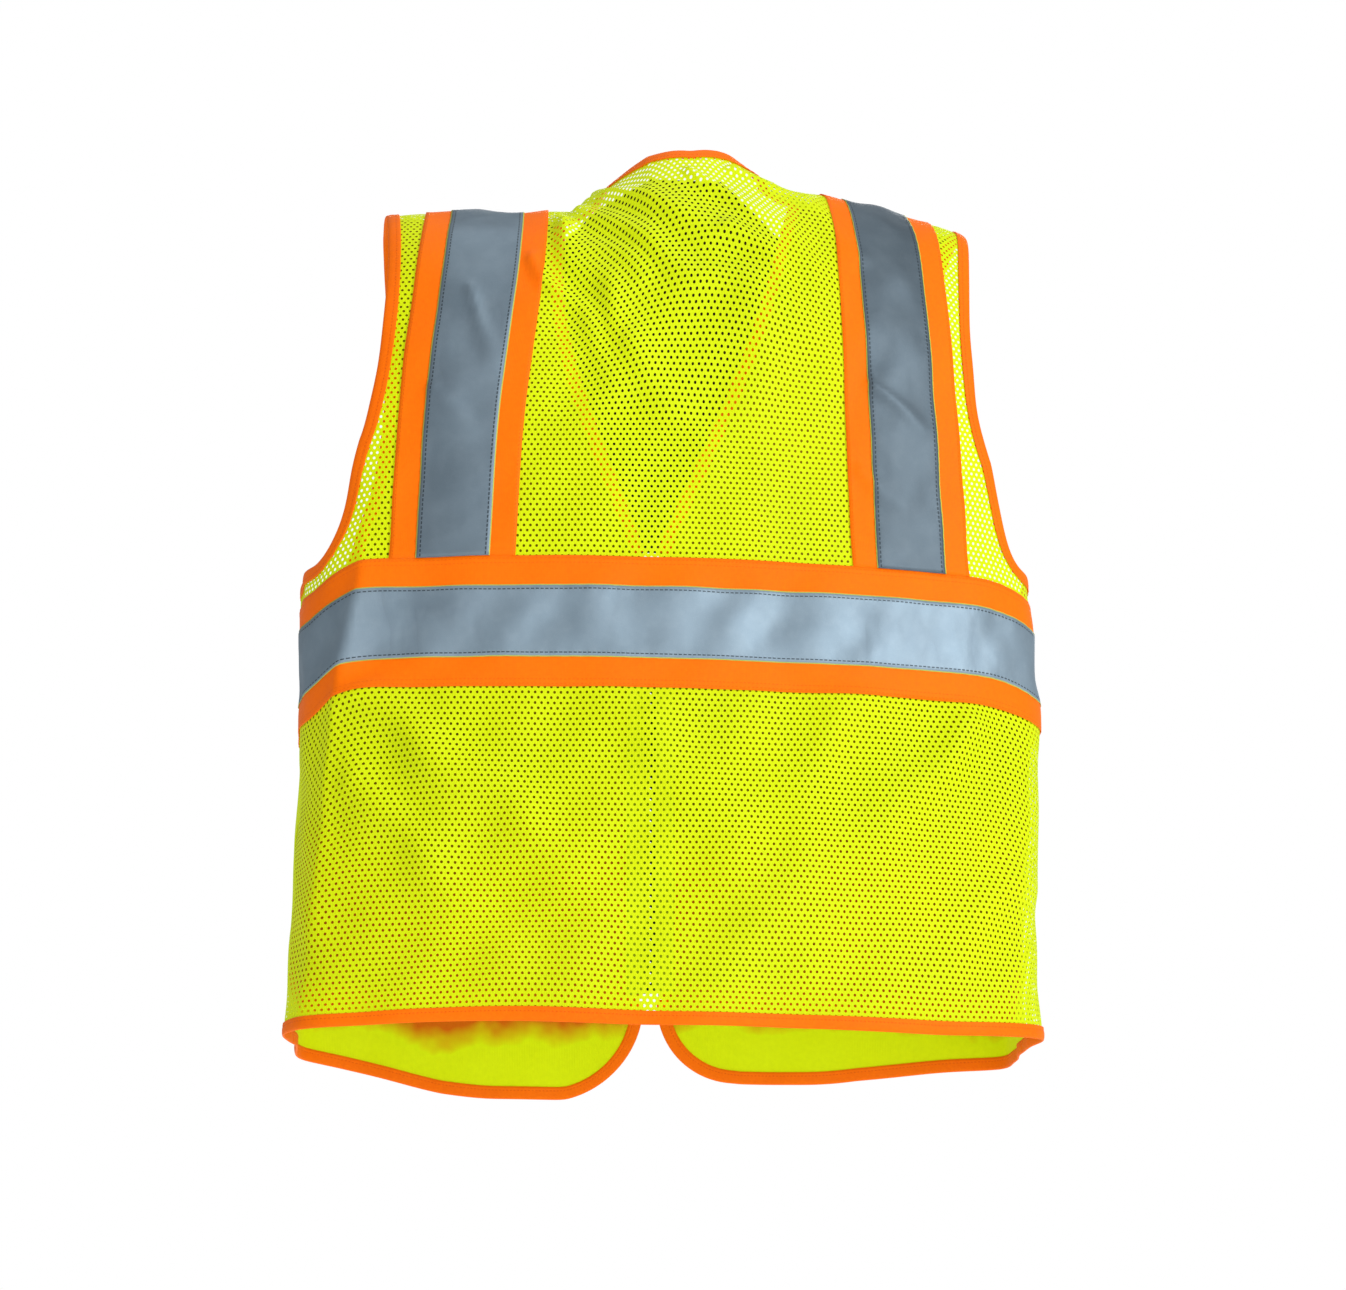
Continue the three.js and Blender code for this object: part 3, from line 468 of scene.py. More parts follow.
class Look:
    def __init__(self, name, **shader):
        self.material = bpy.data.materials.new(name)
        self.material.use_nodes = True
        self.tree = self.material.node_tree
        self.shader = self.tree.nodes["Principled BSDF"]
        self.shader.inputs["Specular IOR Level"].default_value = 0.1
        for key, value in shader.items():
            self.shader.inputs[key.replace("_", " ")].default_value = value

    def add(self, kind, settings=None, values=None, output=0):
        node = self.tree.nodes.new(kind)
        for key, value in (settings or {}).items():
            setattr(node, key, value)
        for key, value in (values or {}).items():
            self.put(node.inputs[key], value)
        return Maths(self, node.outputs[output])

    def put(self, socket, value):
        if isinstance(value, Maths):
            self.tree.links.new(value.socket, socket)
        else:
            socket.default_value = value

    def give(self, **values):
        for key, value in values.items():
            self.put(self.shader.inputs[key.replace("_", " ")], value)
        return self.material

    def place(self):
        return self.add("ShaderNodeTexCoord", output="Object")

    def cloth(self):  # metres along and across the piece
        uv = self.add("ShaderNodeUVMap", {"uv_map": "cloth"})
        parts = self.tree.nodes.new("ShaderNodeSeparateXYZ")
        self.put(parts.inputs[0], uv)
        return Maths(self, parts.outputs[0]), Maths(self, parts.outputs[1])

    def noise(self, scale, detail=2.0, rough=0.5, where=None):
        values = {"Vector": where or self.place(), "Scale": scale, "Detail": detail, "Roughness": rough}
        return self.add("ShaderNodeTexNoise", {}, values, "Fac")

    def mix(self, share, first, second):
        values = {0: share, 6: first, 7: second}
        return self.add("ShaderNodeMix", {"data_type": "RGBA"}, values, 2)

    def bump(self, height, depth, strength=1.0):
        values = {"Height": height, "Distance": depth, "Strength": strength}
        return self.add("ShaderNodeBump", {}, values, "Normal")


def colour(red, green, blue, gain=1.0):
    parts = [c / 255 for c in (red, green, blue)]
    linear = [c / 12.92 if c <= 0.04045 else ((c + 0.055) / 1.055) ** 2.4 for c in parts]
    return tuple(c * gain for c in linear) + (1.0,)


def wave(value, length):  # 0 to 1 with that wavelength in metres
    return (value * (2 * math.pi / length)).cosine() * 0.5 + 0.5


def line(value, at, halfWidth):  # 1 within halfWidth of a place
    return abs(value - at) < halfWidth


# The two dyes are fluorescent. Their cloths carry a weak painted glow: an emission that stands in for the
# fluorescence and flattens their shading.
lime = {
    "deep": colour(172, 188, 0),
    "bright": colour(194, 208, 4),
    "contrast": 1.6,
    "glow": colour(216, 238, 0),
    "glowStrength": 0.28,
}
orange = {
    "deep": colour(222, 92, 0),
    "bright": colour(238, 112, 0),
    "contrast": 1.5,
    "glow": colour(255, 112, 0),
    "glowStrength": 0.16,
}


def dyedLook(name, dye, rough, coarse, fine, share):  # cloth that is a little uneven in tone
    look = Look(name, Roughness=rough, Sheen_Weight=0.03, Sheen_Roughness=0.4)
    along, across = look.cloth()
    tone = look.noise(coarse, 3.0) * share + look.noise(fine, 2.0) * (1 - share)
    contrast = dye["contrast"]
    base = look.mix((tone * contrast - (contrast - 1) / 2).clipped(), dye["deep"], dye["bright"])
    return look, along, across, tone, base


def dyedClothAndGlow(look, dye, base, rough, normal, glow=None):
    # painted light: the glow is a constant emission standing in for the fluorescence of the dye
    return look.give(Base_Color=base, Roughness=rough, Normal=normal,
                     Emission_Color=glow or dye["glow"], Emission_Strength=dye["glowStrength"])


def ribbed(along, down):
    return wave(along, 0.0012) * (0.6 + 0.4 * wave(down, 0.0009))


def limeMeshLook():  # a warp-knit mesh: fine loops round each hole
    look, along, down, tone, base = dyedLook("lime_mesh", lime, 0.62, 9.0, 420.0, 0.6)
    loops = wave(along, holes["pitch"] / 4) * 0.6 + wave(down, holes["rowPitch"] / 5) * 0.4
    shadow = look.mix((0.35 - loops).clipped() * 0.7, base, colour(148, 166, 0))
    height = loops * 0.7 + look.noise(1500.0, 1.0) * 0.3
    return dyedClothAndGlow(look, lime, shadow, 0.55 + tone * 0.15, look.bump(height, 0.00022, 0.8))


def limeSolidLook(name, shaded=False):
    look, along, down, tone, base = dyedLook(name, lime, 0.6, 7.0, 300.0, 0.55)
    glow = lime["glow"]
    if shaded:  # tints that stand for the shade inside the vest, and for the orange cast of its trims
        hem = float(frontHemDown[:, 1].max())
        blotches = (look.noise(17.0, 3.0, 0.6) - 0.5) * 2.2
        # painted shade above the lit band by the hem, with an orange cast; the glow is turned off there
        shadeAboveHem = ((hem - 0.038 - down) * 70 + blotches * 1.3).clipped()
        deep = ((hem - 0.056 - down) * 50 + blotches).clipped()
        base = look.mix(shadeAboveHem, base, colour(208, 100, 2))
        shade = look.mix((blotches + 0.5).clipped(), colour(108, 96, 2), colour(146, 118, 2))
        # painted orange-brown shade, in patches, lower down inside the vest
        lowerOrangeShade = ((down - 0.46) * 14).clipped() * (look.noise(9.0, 2.0) * 3.4 - 1.0).clipped()
        base = look.mix(deep, base, look.mix(lowerOrangeShade * 0.85, shade, colour(184, 78, 4)))
        glow = look.mix(shadeAboveHem, glow, (0.01, 0.002, 0.0, 1))
    seam = line(along, frontSide["half"] + 0.0055, 0.0004) + line(down, -0.0055, 0.0004)
    edgeX = pattern["frontEdge"]
    edge = line(along, edgeX + 0.003, 0.0004) + line(along, edgeX + 0.012, 0.0004)
    upright, level = wave(down, 0.003), wave(along, 0.003)
    stitch = ((seam * upright + seam * level) * 0.5 + edge * upright).clipped()
    base = look.mix(stitch * 0.5, base, colour(140, 156, 0))
    height = ribbed(along, down) * 0.6 - stitch * 1.5 + look.noise(1200.0, 1.0) * 0.3
    return dyedClothAndGlow(look, lime, base, 0.52 + tone * 0.18, look.bump(height, 0.00015, 0.7), glow)


def orangeTrimLook():  # plain woven band, with a seam line near each edge
    look, along, across, tone, base = dyedLook("orange_trim", orange, 0.6, 11.0, 350.0, 0.55)
    weave = wave(along, 0.001) * wave(across, 0.0011)
    base = look.mix(weave * 0.12, base, colour(250, 140, 10))
    strapEdge, waistEdge = trim["strapWidth"] / 2 - 0.002, trim["waistWidth"] / 2 - 0.002
    edge = line(abs(across), strapEdge, 0.0003) + line(abs(across), waistEdge, 0.0003)
    stitch = edge.clipped() * wave(along, 0.0028)
    base = look.mix(stitch * 0.45, base, colour(206, 74, 0))
    height = weave * 0.5 - stitch * 1.2 + look.noise(1100.0, 1.0) * 0.2
    return dyedClothAndGlow(look, orange, base, 0.5 + tone * 0.2, look.bump(height, 0.00016, 0.7))


def orangeBindingLook():  # ribbed tape folded over the raw edge
    look, along, across, tone, base = dyedLook("orange_binding", orange, 0.58, 14.0, 400.0, 0.5)
    ribs = wave(along, 0.0011) * 0.6 + wave(across, 0.0008) * 0.4
    stitch = line(abs(across), binding["stitch"], 0.00035) * wave(along, 0.0026)
    base = look.mix(stitch * 0.5, base, colour(190, 66, 0))
    height = ribs * 0.5 - stitch * 1.4
    return dyedClothAndGlow(look, orange, base, 0.48 + tone * 0.2, look.bump(height, 0.00016, 0.8))


def silverTapeLook(name, gain):  # glass-bead tape with a lime selvedge and a dashed row of stitches
    look = Look(name, Sheen_Weight=0.0)
    along, across = look.cloth()
    place = look.place()
    beads = look.noise(2600.0, 1.0, where=place)
    cloud = look.noise(22.0, 3.0, 0.6, place)
    streak = look.noise(90.0, 2.0, 0.6, place)
    slanted = {"Vector": place, "Rotation": (0.0, 0.7, 0.0), "Scale": (1.0, 1.0, 0.4)}
    wrinkles = look.noise(30.0, 2.0, 0.5, look.add("ShaderNodeMapping", {}, slanted, "Vector"))
    patches = (look.noise(13.0, 1.0, 0.5, place) * 4 - 1.7).clipped()
    crease = (1 - abs(wrinkles - 0.5) * 11).clipped() * patches
    dull, clean = colour(120, 138, 151, gain), colour(138, 156, 169, gain)
    base = look.mix((cloud * 1.5 - 0.25).clipped(), dull, clean)
    base = look.mix((streak - 0.45).clipped() * 0.5, base, colour(160, 176, 187, gain))
    base = look.mix((beads - 0.5).clipped() * 0.35, base, colour(190, 200, 206, gain))
    # painted shade along the creases
    base = look.mix(crease * 0.16, base, colour(82, 93, 106, gain))
    half = trim["tapeWidth"] / 2
    stitch = line(abs(across), half - 0.003, 0.00042) * (((along % 0.0032) < 0.0021) * 1.0)
    pinch = (1 - abs(abs(across) - (half - 0.003)) * (1 / 0.002)).clipped() * wave(along, 0.0032)
    base = look.mix(stitch * 0.85, base, colour(52, 60, 66))
    selvedge = abs(across) > half - 0.0007
    base = look.mix(selvedge * 0.85, base, colour(190, 196, 60))
    height = beads * 0.25 - stitch * 1.2 - pinch * 0.5 + streak * 0.6 + wrinkles * 6 - crease * 0.6
    return look.give(Base_Color=base, Metallic=0.5 - selvedge * 0.5, Roughness=0.42 + cloud * 0.2,
                     Normal=look.bump(height, 0.00025, 0.8))


def zipperClothLook():
    look = Look("zipper_cloth", Roughness=0.75, Sheen_Weight=0.2)
    along, across = look.cloth()
    twill = wave(along + across, 0.0011)
    base = look.mix(twill * 0.5 + look.noise(300.0) * 0.3, colour(142, 156, 0), colour(170, 184, 2))
    return look.give(Base_Color=base, Normal=look.bump(twill, 0.00015, 0.8))


def darkLook(name, tone, light, rough, grain, depth):
    look = Look(name, Roughness=rough)
    spots = look.noise(grain, 3.0, 0.6)
    base = look.mix((spots * 1.4 - 0.2).clipped(), tone, light)
    return look.give(Base_Color=base, Roughness=rough - 0.1 + spots * 0.2,
                     Normal=look.bump(spots, depth, 0.6))


def webbingLook():
    look = Look("webbing", Roughness=0.7, Sheen_Weight=0.03)
    along, across = look.cloth()
    weave = wave(along + wave(across, 0.003) * 0.0006, 0.0018) * wave(across, 0.0015)
    bars = line(abs(along), tab["height"] / 2 - 0.005, 0.0016) * (abs(across) < tab["width"] / 2 - 0.0025)
    threads = bars * wave(across, 0.0009)
    base = look.mix(weave * 0.6, colour(12, 12, 13), colour(38, 38, 41))
    base = look.mix(threads * 0.8, base, colour(70, 70, 74))
    return look.give(Base_Color=base, Normal=look.bump(weave + threads * 1.5, 0.0003, 0.8))


def hookLoopLook():
    look = Look("hook_and_loop", Roughness=0.9, Sheen_Weight=0.3, Sheen_Roughness=0.6)
    along, across = look.cloth()
    fuzz = look.noise(1700.0, 3.0, 0.7)
    stitch = line(abs(across), flap["gripHeight"] / 2 - 0.0018, 0.0004) * wave(along, 0.0028)
    base = look.mix((fuzz * 1.8 - 0.4).clipped(), colour(8, 8, 9), colour(46, 46, 50))
    base = look.mix(stitch * 0.7, base, colour(84, 84, 88))
    return look.give(Base_Color=base, Normal=look.bump(fuzz - stitch, 0.0006, 0.9))


layers = {  # how high each layer's inner face lies on the body, and how thick its cloth is
    "front": 0.00015,
    "frontCloth": 0.00035,
    "trim": 0.0008,
    "trimCloth": 0.00035,
    "tape": 0.00145,
    "tapeCloth": 0.0003,
    "pocket": 0.0007,
    "onStrap": 0.00195,
    "pocketCloth": 0.0004,
}
holes = {  # of the back panel's open mesh
    "pitch": 0.0043,
    "rowPitch": 0.0036,
    "halfWidth": 0.00086,
    "halfHeight": 0.00108,
    "edge": 0.0025,  # from a hole's middle to the panel's edge at least
}
seamOver = 0.008  # the fronts lie this far over the back at the side and shoulder seams


def backOutline():
    half = np.concatenate([backNeck, backArmhole, [(backSide["half"], backHemDown)]])
    return np.concatenate([half, mirrored(half)])


def makeBackPanel():
    outline = backOutline()
    rows = int(backHemDown / holes["rowPitch"]) + 2
    columns = 2 * int(backSide["half"] / holes["pitch"]) + 4
    j, i = np.meshgrid(np.arange(rows), np.arange(columns), indexing="ij")
    across = (i - columns // 2 + 0.5 * (j % 2)) * holes["pitch"]
    down = (j + 0.5) * holes["rowPitch"]
    centres = np.stack([across, down], -1).reshape(-1, 2)
    kept = np.ones(len(centres), bool)
    for shift in [(1, 0), (-1, 0), (0, 1), (0, -1)]:
        kept &= inside(centres + np.array(shift) * holes["edge"], outline)
    kept = kept.reshape(rows, columns)
    w, h = holes["halfWidth"], holes["halfHeight"]
    corners = np.array([(0, -h), (w, -h / 2), (w, h / 2), (0, h), (-w, h / 2), (-w, -h / 2)])
    points = (np.stack([across, down], -1)[:, :, None] + corners).reshape(-1, 2)
    top, upperRight, lowerRight, bottom, lowerLeft, upperLeft = range(6)

    def corner(row, column, which):
        return (row * columns + column) * 6 + which

    faces = []

    def quad(a, b, c, d):
        faces.extend([[a, b, c], [a, c, d]])

    for row in range(rows):
        here = np.arange(1, columns - 1)
        here = here[kept[row, here]]
        right = here[kept[row, here + 1]]
        at, beside = corner(row, right, 0), corner(row, right + 1, 0)
        quad(at + upperRight, at + lowerRight, beside + lowerLeft, beside + upperLeft)
        if row + 1 == rows:
            continue
        step = row % 2  # the lower right neighbour's column is this much further on
        toRight = here[kept[row + 1, here + step]]
        below = corner(row + 1, toRight + step, 0)
        at = corner(row, toRight, 0)
        quad(at + lowerRight, at + bottom, below + upperLeft, below + top)
        toLeft = here[kept[row + 1, here + step - 1]]
        below = corner(row + 1, toLeft + step - 1, 0)
        at = corner(row, toLeft, 0)
        quad(at + bottom, at + lowerLeft, below + top, below + upperRight)
        both = here[kept[row + 1, here + step] & kept[row + 1, here + step - 1]]
        faces.append([corner(row, both, bottom), corner(row + 1, both + step - 1, upperRight),
                      corner(row + 1, both + step, upperLeft)])
        between = right[kept[row + 1, right + step]]
        faces.append([corner(row, between, lowerRight), corner(row + 1, between + step, top),
                      corner(row, between + 1, lowerLeft)])
    faces = np.concatenate([np.stack(face, 1) for face in faces])
    points, faces, uv = withoutLoose(points, faces, points)
    shape = clothAt(backSide, points[:, 0], points[:, 1])
    piece = makePiece("back_panel_cloth", shape, faces, uv, limeMesh)
    faceOutward(piece, 1)
    print("back panel:", len(faces), "triangles")
    width, height = 2 * backSide["half"], backHemDown
    finishCloth(piece, ["back_panel"], (width, height))


def faceOutward(piece, side):  # turns the mesh over if its middle faces inwards
    mesh = piece.data
    total = sum(face.normal.y * face.area for face in mesh.polygons)
    if total * side < 0:
        mesh.flip_normals()


trim = {
    "strapWidth": 0.084,
    "waistWidth": 0.09,
    "tapeWidth": 0.05,
    "strapTop": 0.142,  # from the middle line to the middle of a strap at the shoulder
    "backSplay": 0.015,  # how much further out it is at the waist
    "frontSplay": 0.001,
    "waistTop": -0.297,
    "tapeDrop": 0.02,  # from the top of the waist trim to its tape
    "step": 0.003,  # between the points of a strip
}
gathers = {"height": 0.00022, "length": 0.0105, "reach": 0.004}  # the puckers beside the stitching


def makeStrip(name, side, across, down, lift, thickness, uv, material):
    shape = clothAt(side, across, down, lift)
    rows, columns = across.shape
    piece = makePiece(name, shape.reshape(-1, 3), gridFaces(rows, columns), uv.reshape(-1, 2), material)
    faceOutward(piece, side["sign"])
    thicken(piece, thickness)
    return piece


def pucker(along, across, half):  # uneven in length and height
    near = np.exp(-(((half - np.abs(across)) / gathers["reach"]) ** 2))
    ripple = np.sin(along * 2 * math.pi / gathers["length"] + 1.7 * np.sin(along * 41))
    return gathers["height"] * near * ripple * (0.6 + 0.4 * np.sin(along * 23))


def strapStrip(name, sign, side, width, lift, thickness, material, nodes):
    splay = trim["backSplay"] if side is backSide else trim["frontSplay"]
    end = float(patternAt(side, trim["strapTop"], trim["waistTop"])[1])
    rows = int(end / trim["step"])
    offset = np.linspace(-width / 2, width / 2, int(width / trim["step"]) + 1)
    down, offset = np.meshgrid(np.linspace(0, end, rows), offset, indexing="ij")
    x = sign * (trim["strapTop"] + splay * down / end) + offset
    across = np.sign(x) * np.interp(np.abs(x), side["x"], side["across"])
    uv = np.stack([down, offset], -1)
    lifted = lift + pucker(down, offset, width / 2)
    piece = makeStrip(name, side, across, down, lifted, thickness, uv, material)
    finishCloth(piece, nodes, (width, end))


def waistStrip(name, side, start, end, top, height, lift, thickness, material, nodes):
    columns = int(abs(end - start) / trim["step"])
    offset = np.linspace(height / 2, -height / 2, int(height / trim["step"]) + 1)
    topDown = side["chest"] + body["chestHeight"] - top
    offset, across = np.meshgrid(offset, np.linspace(start, end, columns), indexing="ij")
    down = topDown + height / 2 - offset
    uv = np.stack([across, offset], -1)
    lifted = lift + pucker(across, offset, height / 2)
    piece = makeStrip(name, side, across, down, lifted, thickness, uv, material)
    finishCloth(piece, nodes, (abs(end - start), height))


def makeBands():
    kinds = [  # kind, strap's width, waist's height, drop below the waist's top, material and slot
        ("trim", trim["strapWidth"], trim["waistWidth"], 0.0, orangeTrim, "orange_trim"),
        ("tape", trim["tapeWidth"], trim["tapeWidth"], trim["tapeDrop"], silverTape, "silver_tape"),
    ]
    for kind, width, height, drop, material, slot in kinds:
        top = trim["waistTop"] - drop
        lift, thickness = layers[kind], layers[kind + "Cloth"]
        for hand, sign in hands.items():
            for side, face in ((backSide, "back"), (frontSide, "front")):
                node = f"{hand}_{face}_strap_{kind}"
                look = strapTape[hand] if kind == "tape" else material
                strapStrip(node + "_cloth", sign, side, width, lift, thickness, look, [node])
            node = f"{hand}_waist_{kind}"
            waistStrip(node + "_cloth", frontSide, sign * pattern["frontEdge"], sign * frontSide["half"],
                       top, height, lift, thickness, material, [node])
        node = "back_waist_" + kind
        waistStrip(node + "_cloth", backSide, -backSide["half"], backSide["half"], top, height, lift,
                   thickness, material, [node])


def frontOutline():
    upper = np.concatenate([[(frontNeck[0, 0], -0.02)], frontNeck])
    edgeX = pattern["frontEdge"] - 0.001
    edge = [(edgeX, frontNeck[-1, 1]), (edgeX, frontHemDown[-1, 1])]
    past = frontSide["half"] + seamOver + 0.001
    sides = [(past, frontHemDown[0, 1]), (past, frontArmhole[-1, 1])]
    arm = np.concatenate([frontArmhole[::-1], [(frontArmhole[0, 0], -0.02)]])
    return np.concatenate([upper, edge, frontHemDown[::-1], sides, arm])


def makeFrontPanel(sign, name):
    outline = frontOutline()
    end = frontHemDown[:, 1].max()
    columnLine = np.linspace(pattern["frontEdge"], frontSide["half"] + seamOver, 92)
    across, down = np.meshgrid(columnLine, np.linspace(-seamOver, end, 190), indexing="xy")
    points = np.stack([across, down], -1).reshape(-1, 2)
    kept = inside(points, outline)
    faces = gridFaces(*across.shape)
    faces = faces[kept[faces].all(1)]
    points, faces, uv = withoutLoose(points, faces, points)
    shape = clothAt(frontSide, sign * points[:, 0], points[:, 1], np.full(len(points), layers["front"]))
    piece = makePiece(name + "_cloth", shape, faces, uv, limeSolid)
    faceOutward(piece, -1)
    thicken(piece, layers["frontCloth"], limeInner)
    flat = (float(np.ptp(uv[:, 0])), float(np.ptp(uv[:, 1])))
    finishCloth(piece, [name], flat)


binding = {  # a tape folded over the raw edges
    "width": 0.008,  # of each leaf
    "stitch": 0.0062,  # from the edge
    "out": 0.00085,  # height of the outer leaf, and depth of the inner one
    "back": 0.00035,
    "wrap": 0.0009,  # past the edge
    "cloth": 0.0003,
    "gather": 0.00016,
    "gatherLength": 0.0088,
    "step": 0.0028,
    "tip": 6,  # which point of the section lies furthest out
}


def evenly(line, step):
    length = lengthsAlong(line)
    at = np.linspace(0, length[-1], max(int(length[-1] / step), 4))
    return np.stack([np.interp(at, length, line[:, k]) for k in (0, 1)], 1)


def inwardAlong(side, line):  # directions across the line, towards the cloth
    ahead = np.gradient(line, axis=0)
    inward = np.stack([-ahead[:, 1], ahead[:, 0]], 1)
    inward /= np.linalg.norm(inward, axis=1, keepdims=True)
    middle = len(line) // 2
    probe = np.abs(line[middle] + inward[middle] * 0.003)
    outline = backOutline() if side is backSide else frontOutline()
    return inward if inside(probe[None], outline)[0] else -inward


def bindingSection():  # (distance in from the edge, lift) from the outer face round to the inner one
    width, out, back, wrap = (binding[key] for key in ("width", "out", "back", "wrap"))
    outer = [(width, out - 0.0003), (width - 0.0006, out), (binding["stitch"], out - 0.00015),
             (0.0035, out + 0.0001), (0.001, out)]
    turn = [(-0.5 * wrap, 0.55 * out), (-wrap, 0.1 * out), (-0.5 * wrap, -0.8 * back)]
    inner = [(0.001, -back), (0.0035, -back), (binding["stitch"], -back + 0.0001), (width, -back)]
    return np.array(outer + turn + inner)


def makeBinding(name, runs, nodes, closed=False):  # runs are pairs of side and line
    section = bindingSection()
    around = lengthsAlong(section)
    around -= around[binding["tip"]]
    rings = []
    travelled = 0.0
    for side, line in runs:
        line = evenly(line, binding["step"])
        inward = inwardAlong(side, line)
        along = travelled + lengthsAlong(line)
        travelled = along[-1]
        spots = line[:, None] + inward[:, None] * section[None, :, :1]
        ripple = np.sin(along * 2 * math.pi / binding["gatherLength"] + 1.5 * np.sin(along * 37))
        gathered = binding["gather"] * ripple[:, None]
        fromEdge, lifts = section[None, :, 0], section[None, :, 1]
        lifts = lifts + gathered * np.sign(lifts) * (fromEdge > 0.002)
        shape = clothAt(side, spots[..., 0], spots[..., 1], lifts)
        uv = np.stack(np.broadcast_arrays(along[:, None], around[None]), -1)
        rings.append((shape, uv))
    shape = np.concatenate([ring[0] for ring in rings])
    uv = np.concatenate([ring[1] for ring in rings])
    rows, columns = shape.shape[:2]
    faces = gridFaces(rows, columns, closed=closed)
    piece = makePiece(name, shape.reshape(-1, 3), faces, uv.reshape(-1, 2), orangeBinding)
    tidyMesh(piece, 0.0002)
    outwardFromEdge(piece, shape)
    thicken(piece, binding["cloth"])
    flat = (float(travelled), float(around[-1] - around[0]))
    finishCloth(piece, nodes, flat)


def tidyMesh(piece, gap):
    mesh = bmesh.new()
    mesh.from_mesh(piece.data)
    bmesh.ops.remove_doubles(mesh, verts=mesh.verts, dist=gap)
    bmesh.ops.recalc_face_normals(mesh, faces=mesh.faces)
    mesh.to_mesh(piece.data)
    mesh.free()


def outwardFromEdge(piece, shape):  # the fold's round side is its outside
    middle = shape[len(shape) // 2]
    heart, tip = middle.mean(0), middle[binding["tip"]]
    nearest = min(piece.data.polygons, key=lambda face: (face.center - asVector(tip)).length)
    if nearest.normal.dot(asVector(tip - heart)) < 0:
        piece.data.flip_normals()


def makeBindings():
    neckRuns = [
        (frontSide, mirrored(frontNeck)),
        (backSide, np.concatenate([mirrored(backNeck)[:-1], backNeck])),
        (frontSide, frontNeck),
    ]
    makeBinding("neck_binding_cloth", neckRuns, ["neck_binding"])
    for hand, sign in hands.items():
        turned = [sign, 1]
        armRuns = [(frontSide, frontArmhole * turned), (backSide, (backArmhole * turned)[::-1])]
        makeBinding(f"{hand}_armhole_binding_cloth", armRuns, [f"{hand}_armhole_binding"], closed=True)
        makeBinding(f"{hand}_front_hem_binding_cloth", [(frontSide, frontHemDown * turned)],
                    [f"{hand}_front_hem_binding"])
    hem = np.stack([np.linspace(-backSide["half"], backSide["half"], 200), np.full(200, backHemDown)], 1)
    makeBinding("back_hem_binding_cloth", [(backSide, hem)], ["back_hem_binding"])


flap = {
    "cloth": 0.0009,
    "corner": 0.012,
    "bendLength": 0.014,
    "overhang": 0.003,
    "puff": 0.0022,
    "gripHeight": 0.018,  # of the hook and loop patches
    "gripRise": 0.007,  # from the flap's lower edge
    "gripCloth": 0.0008,
}
lowerPocket = {
    "left": 0.052,
    "right": 0.198,
    "top": -0.436,
    "bottom": -0.599,
    "base": layers["pocket"],
    "flapTop": -0.4235,
    "flapDrop": 0.058,
    "gripWidth": 0.06,
}
chestPocket = {
    "left": 0.104,
    "right": 0.182,
    "top": -0.158,
    "bottom": -0.292,
    "base": layers["onStrap"],
    "flapTop": -0.148,
    "flapDrop": 0.046,
    "gripWidth": 0.034,
}


def pocketLift(pocket, x, z):  # a little fuller in the middle, and open at its mouth
    width = pocket["right"] - pocket["left"]
    height = pocket["top"] - pocket["bottom"]
    acrossShare = np.clip((np.abs(x) - pocket["left"]) / width, 0, 1)
    riseShare = np.clip((z - pocket["bottom"]) / height, 0, 1)
    full = np.sin(acrossShare * math.pi) ** 0.7 * np.sin(riseShare * math.pi * 0.62) ** 0.8
    return pocket["base"] + flap["puff"] * full


def makePatch(name, sign, sides, ends, corner, liftAt, thickness, material, node, carrier, step=0.003):
    left, right = sides
    top, bottom = ends
    rise = np.linspace(top, bottom, int((top - bottom) / step) + 2)
    cut = np.clip(corner - (rise - bottom), 0, corner)  # rounds off the lower corners
    cut = corner - np.sqrt(np.maximum(corner ** 2 - cut ** 2, 0))
    share = np.linspace(0, 1, int((right - left) / step) + 2)
    z = np.repeat(rise[:, None], len(share), 1)
    x = (left + cut)[:, None] + share * (right - left - 2 * cut)[:, None]
    across, down = patternAt(frontSide, sign * x, z)
    middleX, middleZ = (left + right) / 2, (top + bottom) / 2
    uv = np.stack([x - middleX, z - middleZ], -1)
    piece = makeStrip(name, frontSide, across, down, liftAt(sign * x, z), thickness, uv, material)
    finishCloth(piece, [node], (right - left, top - bottom), carrier=carrier)


def pocketClothLook():
    look, along, up, tone, base = dyedLook("pocket_cloth", lime, 0.6, 8.0, 300.0, 0.55)
    rows = line(abs(along), 0.07, 0.0004) + line(abs(along), 0.036, 0.0004)
    rows = rows + line(abs(up), 0.0785, 0.0004)
    stitch = rows.clipped() * wave(along + up, 0.003)
    base = look.mix(stitch * 0.8, base, colour(110, 124, 0))
    height = ribbed(along, up) * 0.6 - stitch * 1.4
    glow = look.mix(stitch * 0.7, lime["glow"], colour(120, 132, 0))
    return dyedClothAndGlow(look, lime, base, 0.52 + tone * 0.18, look.bump(height, 0.00015, 0.7), glow)


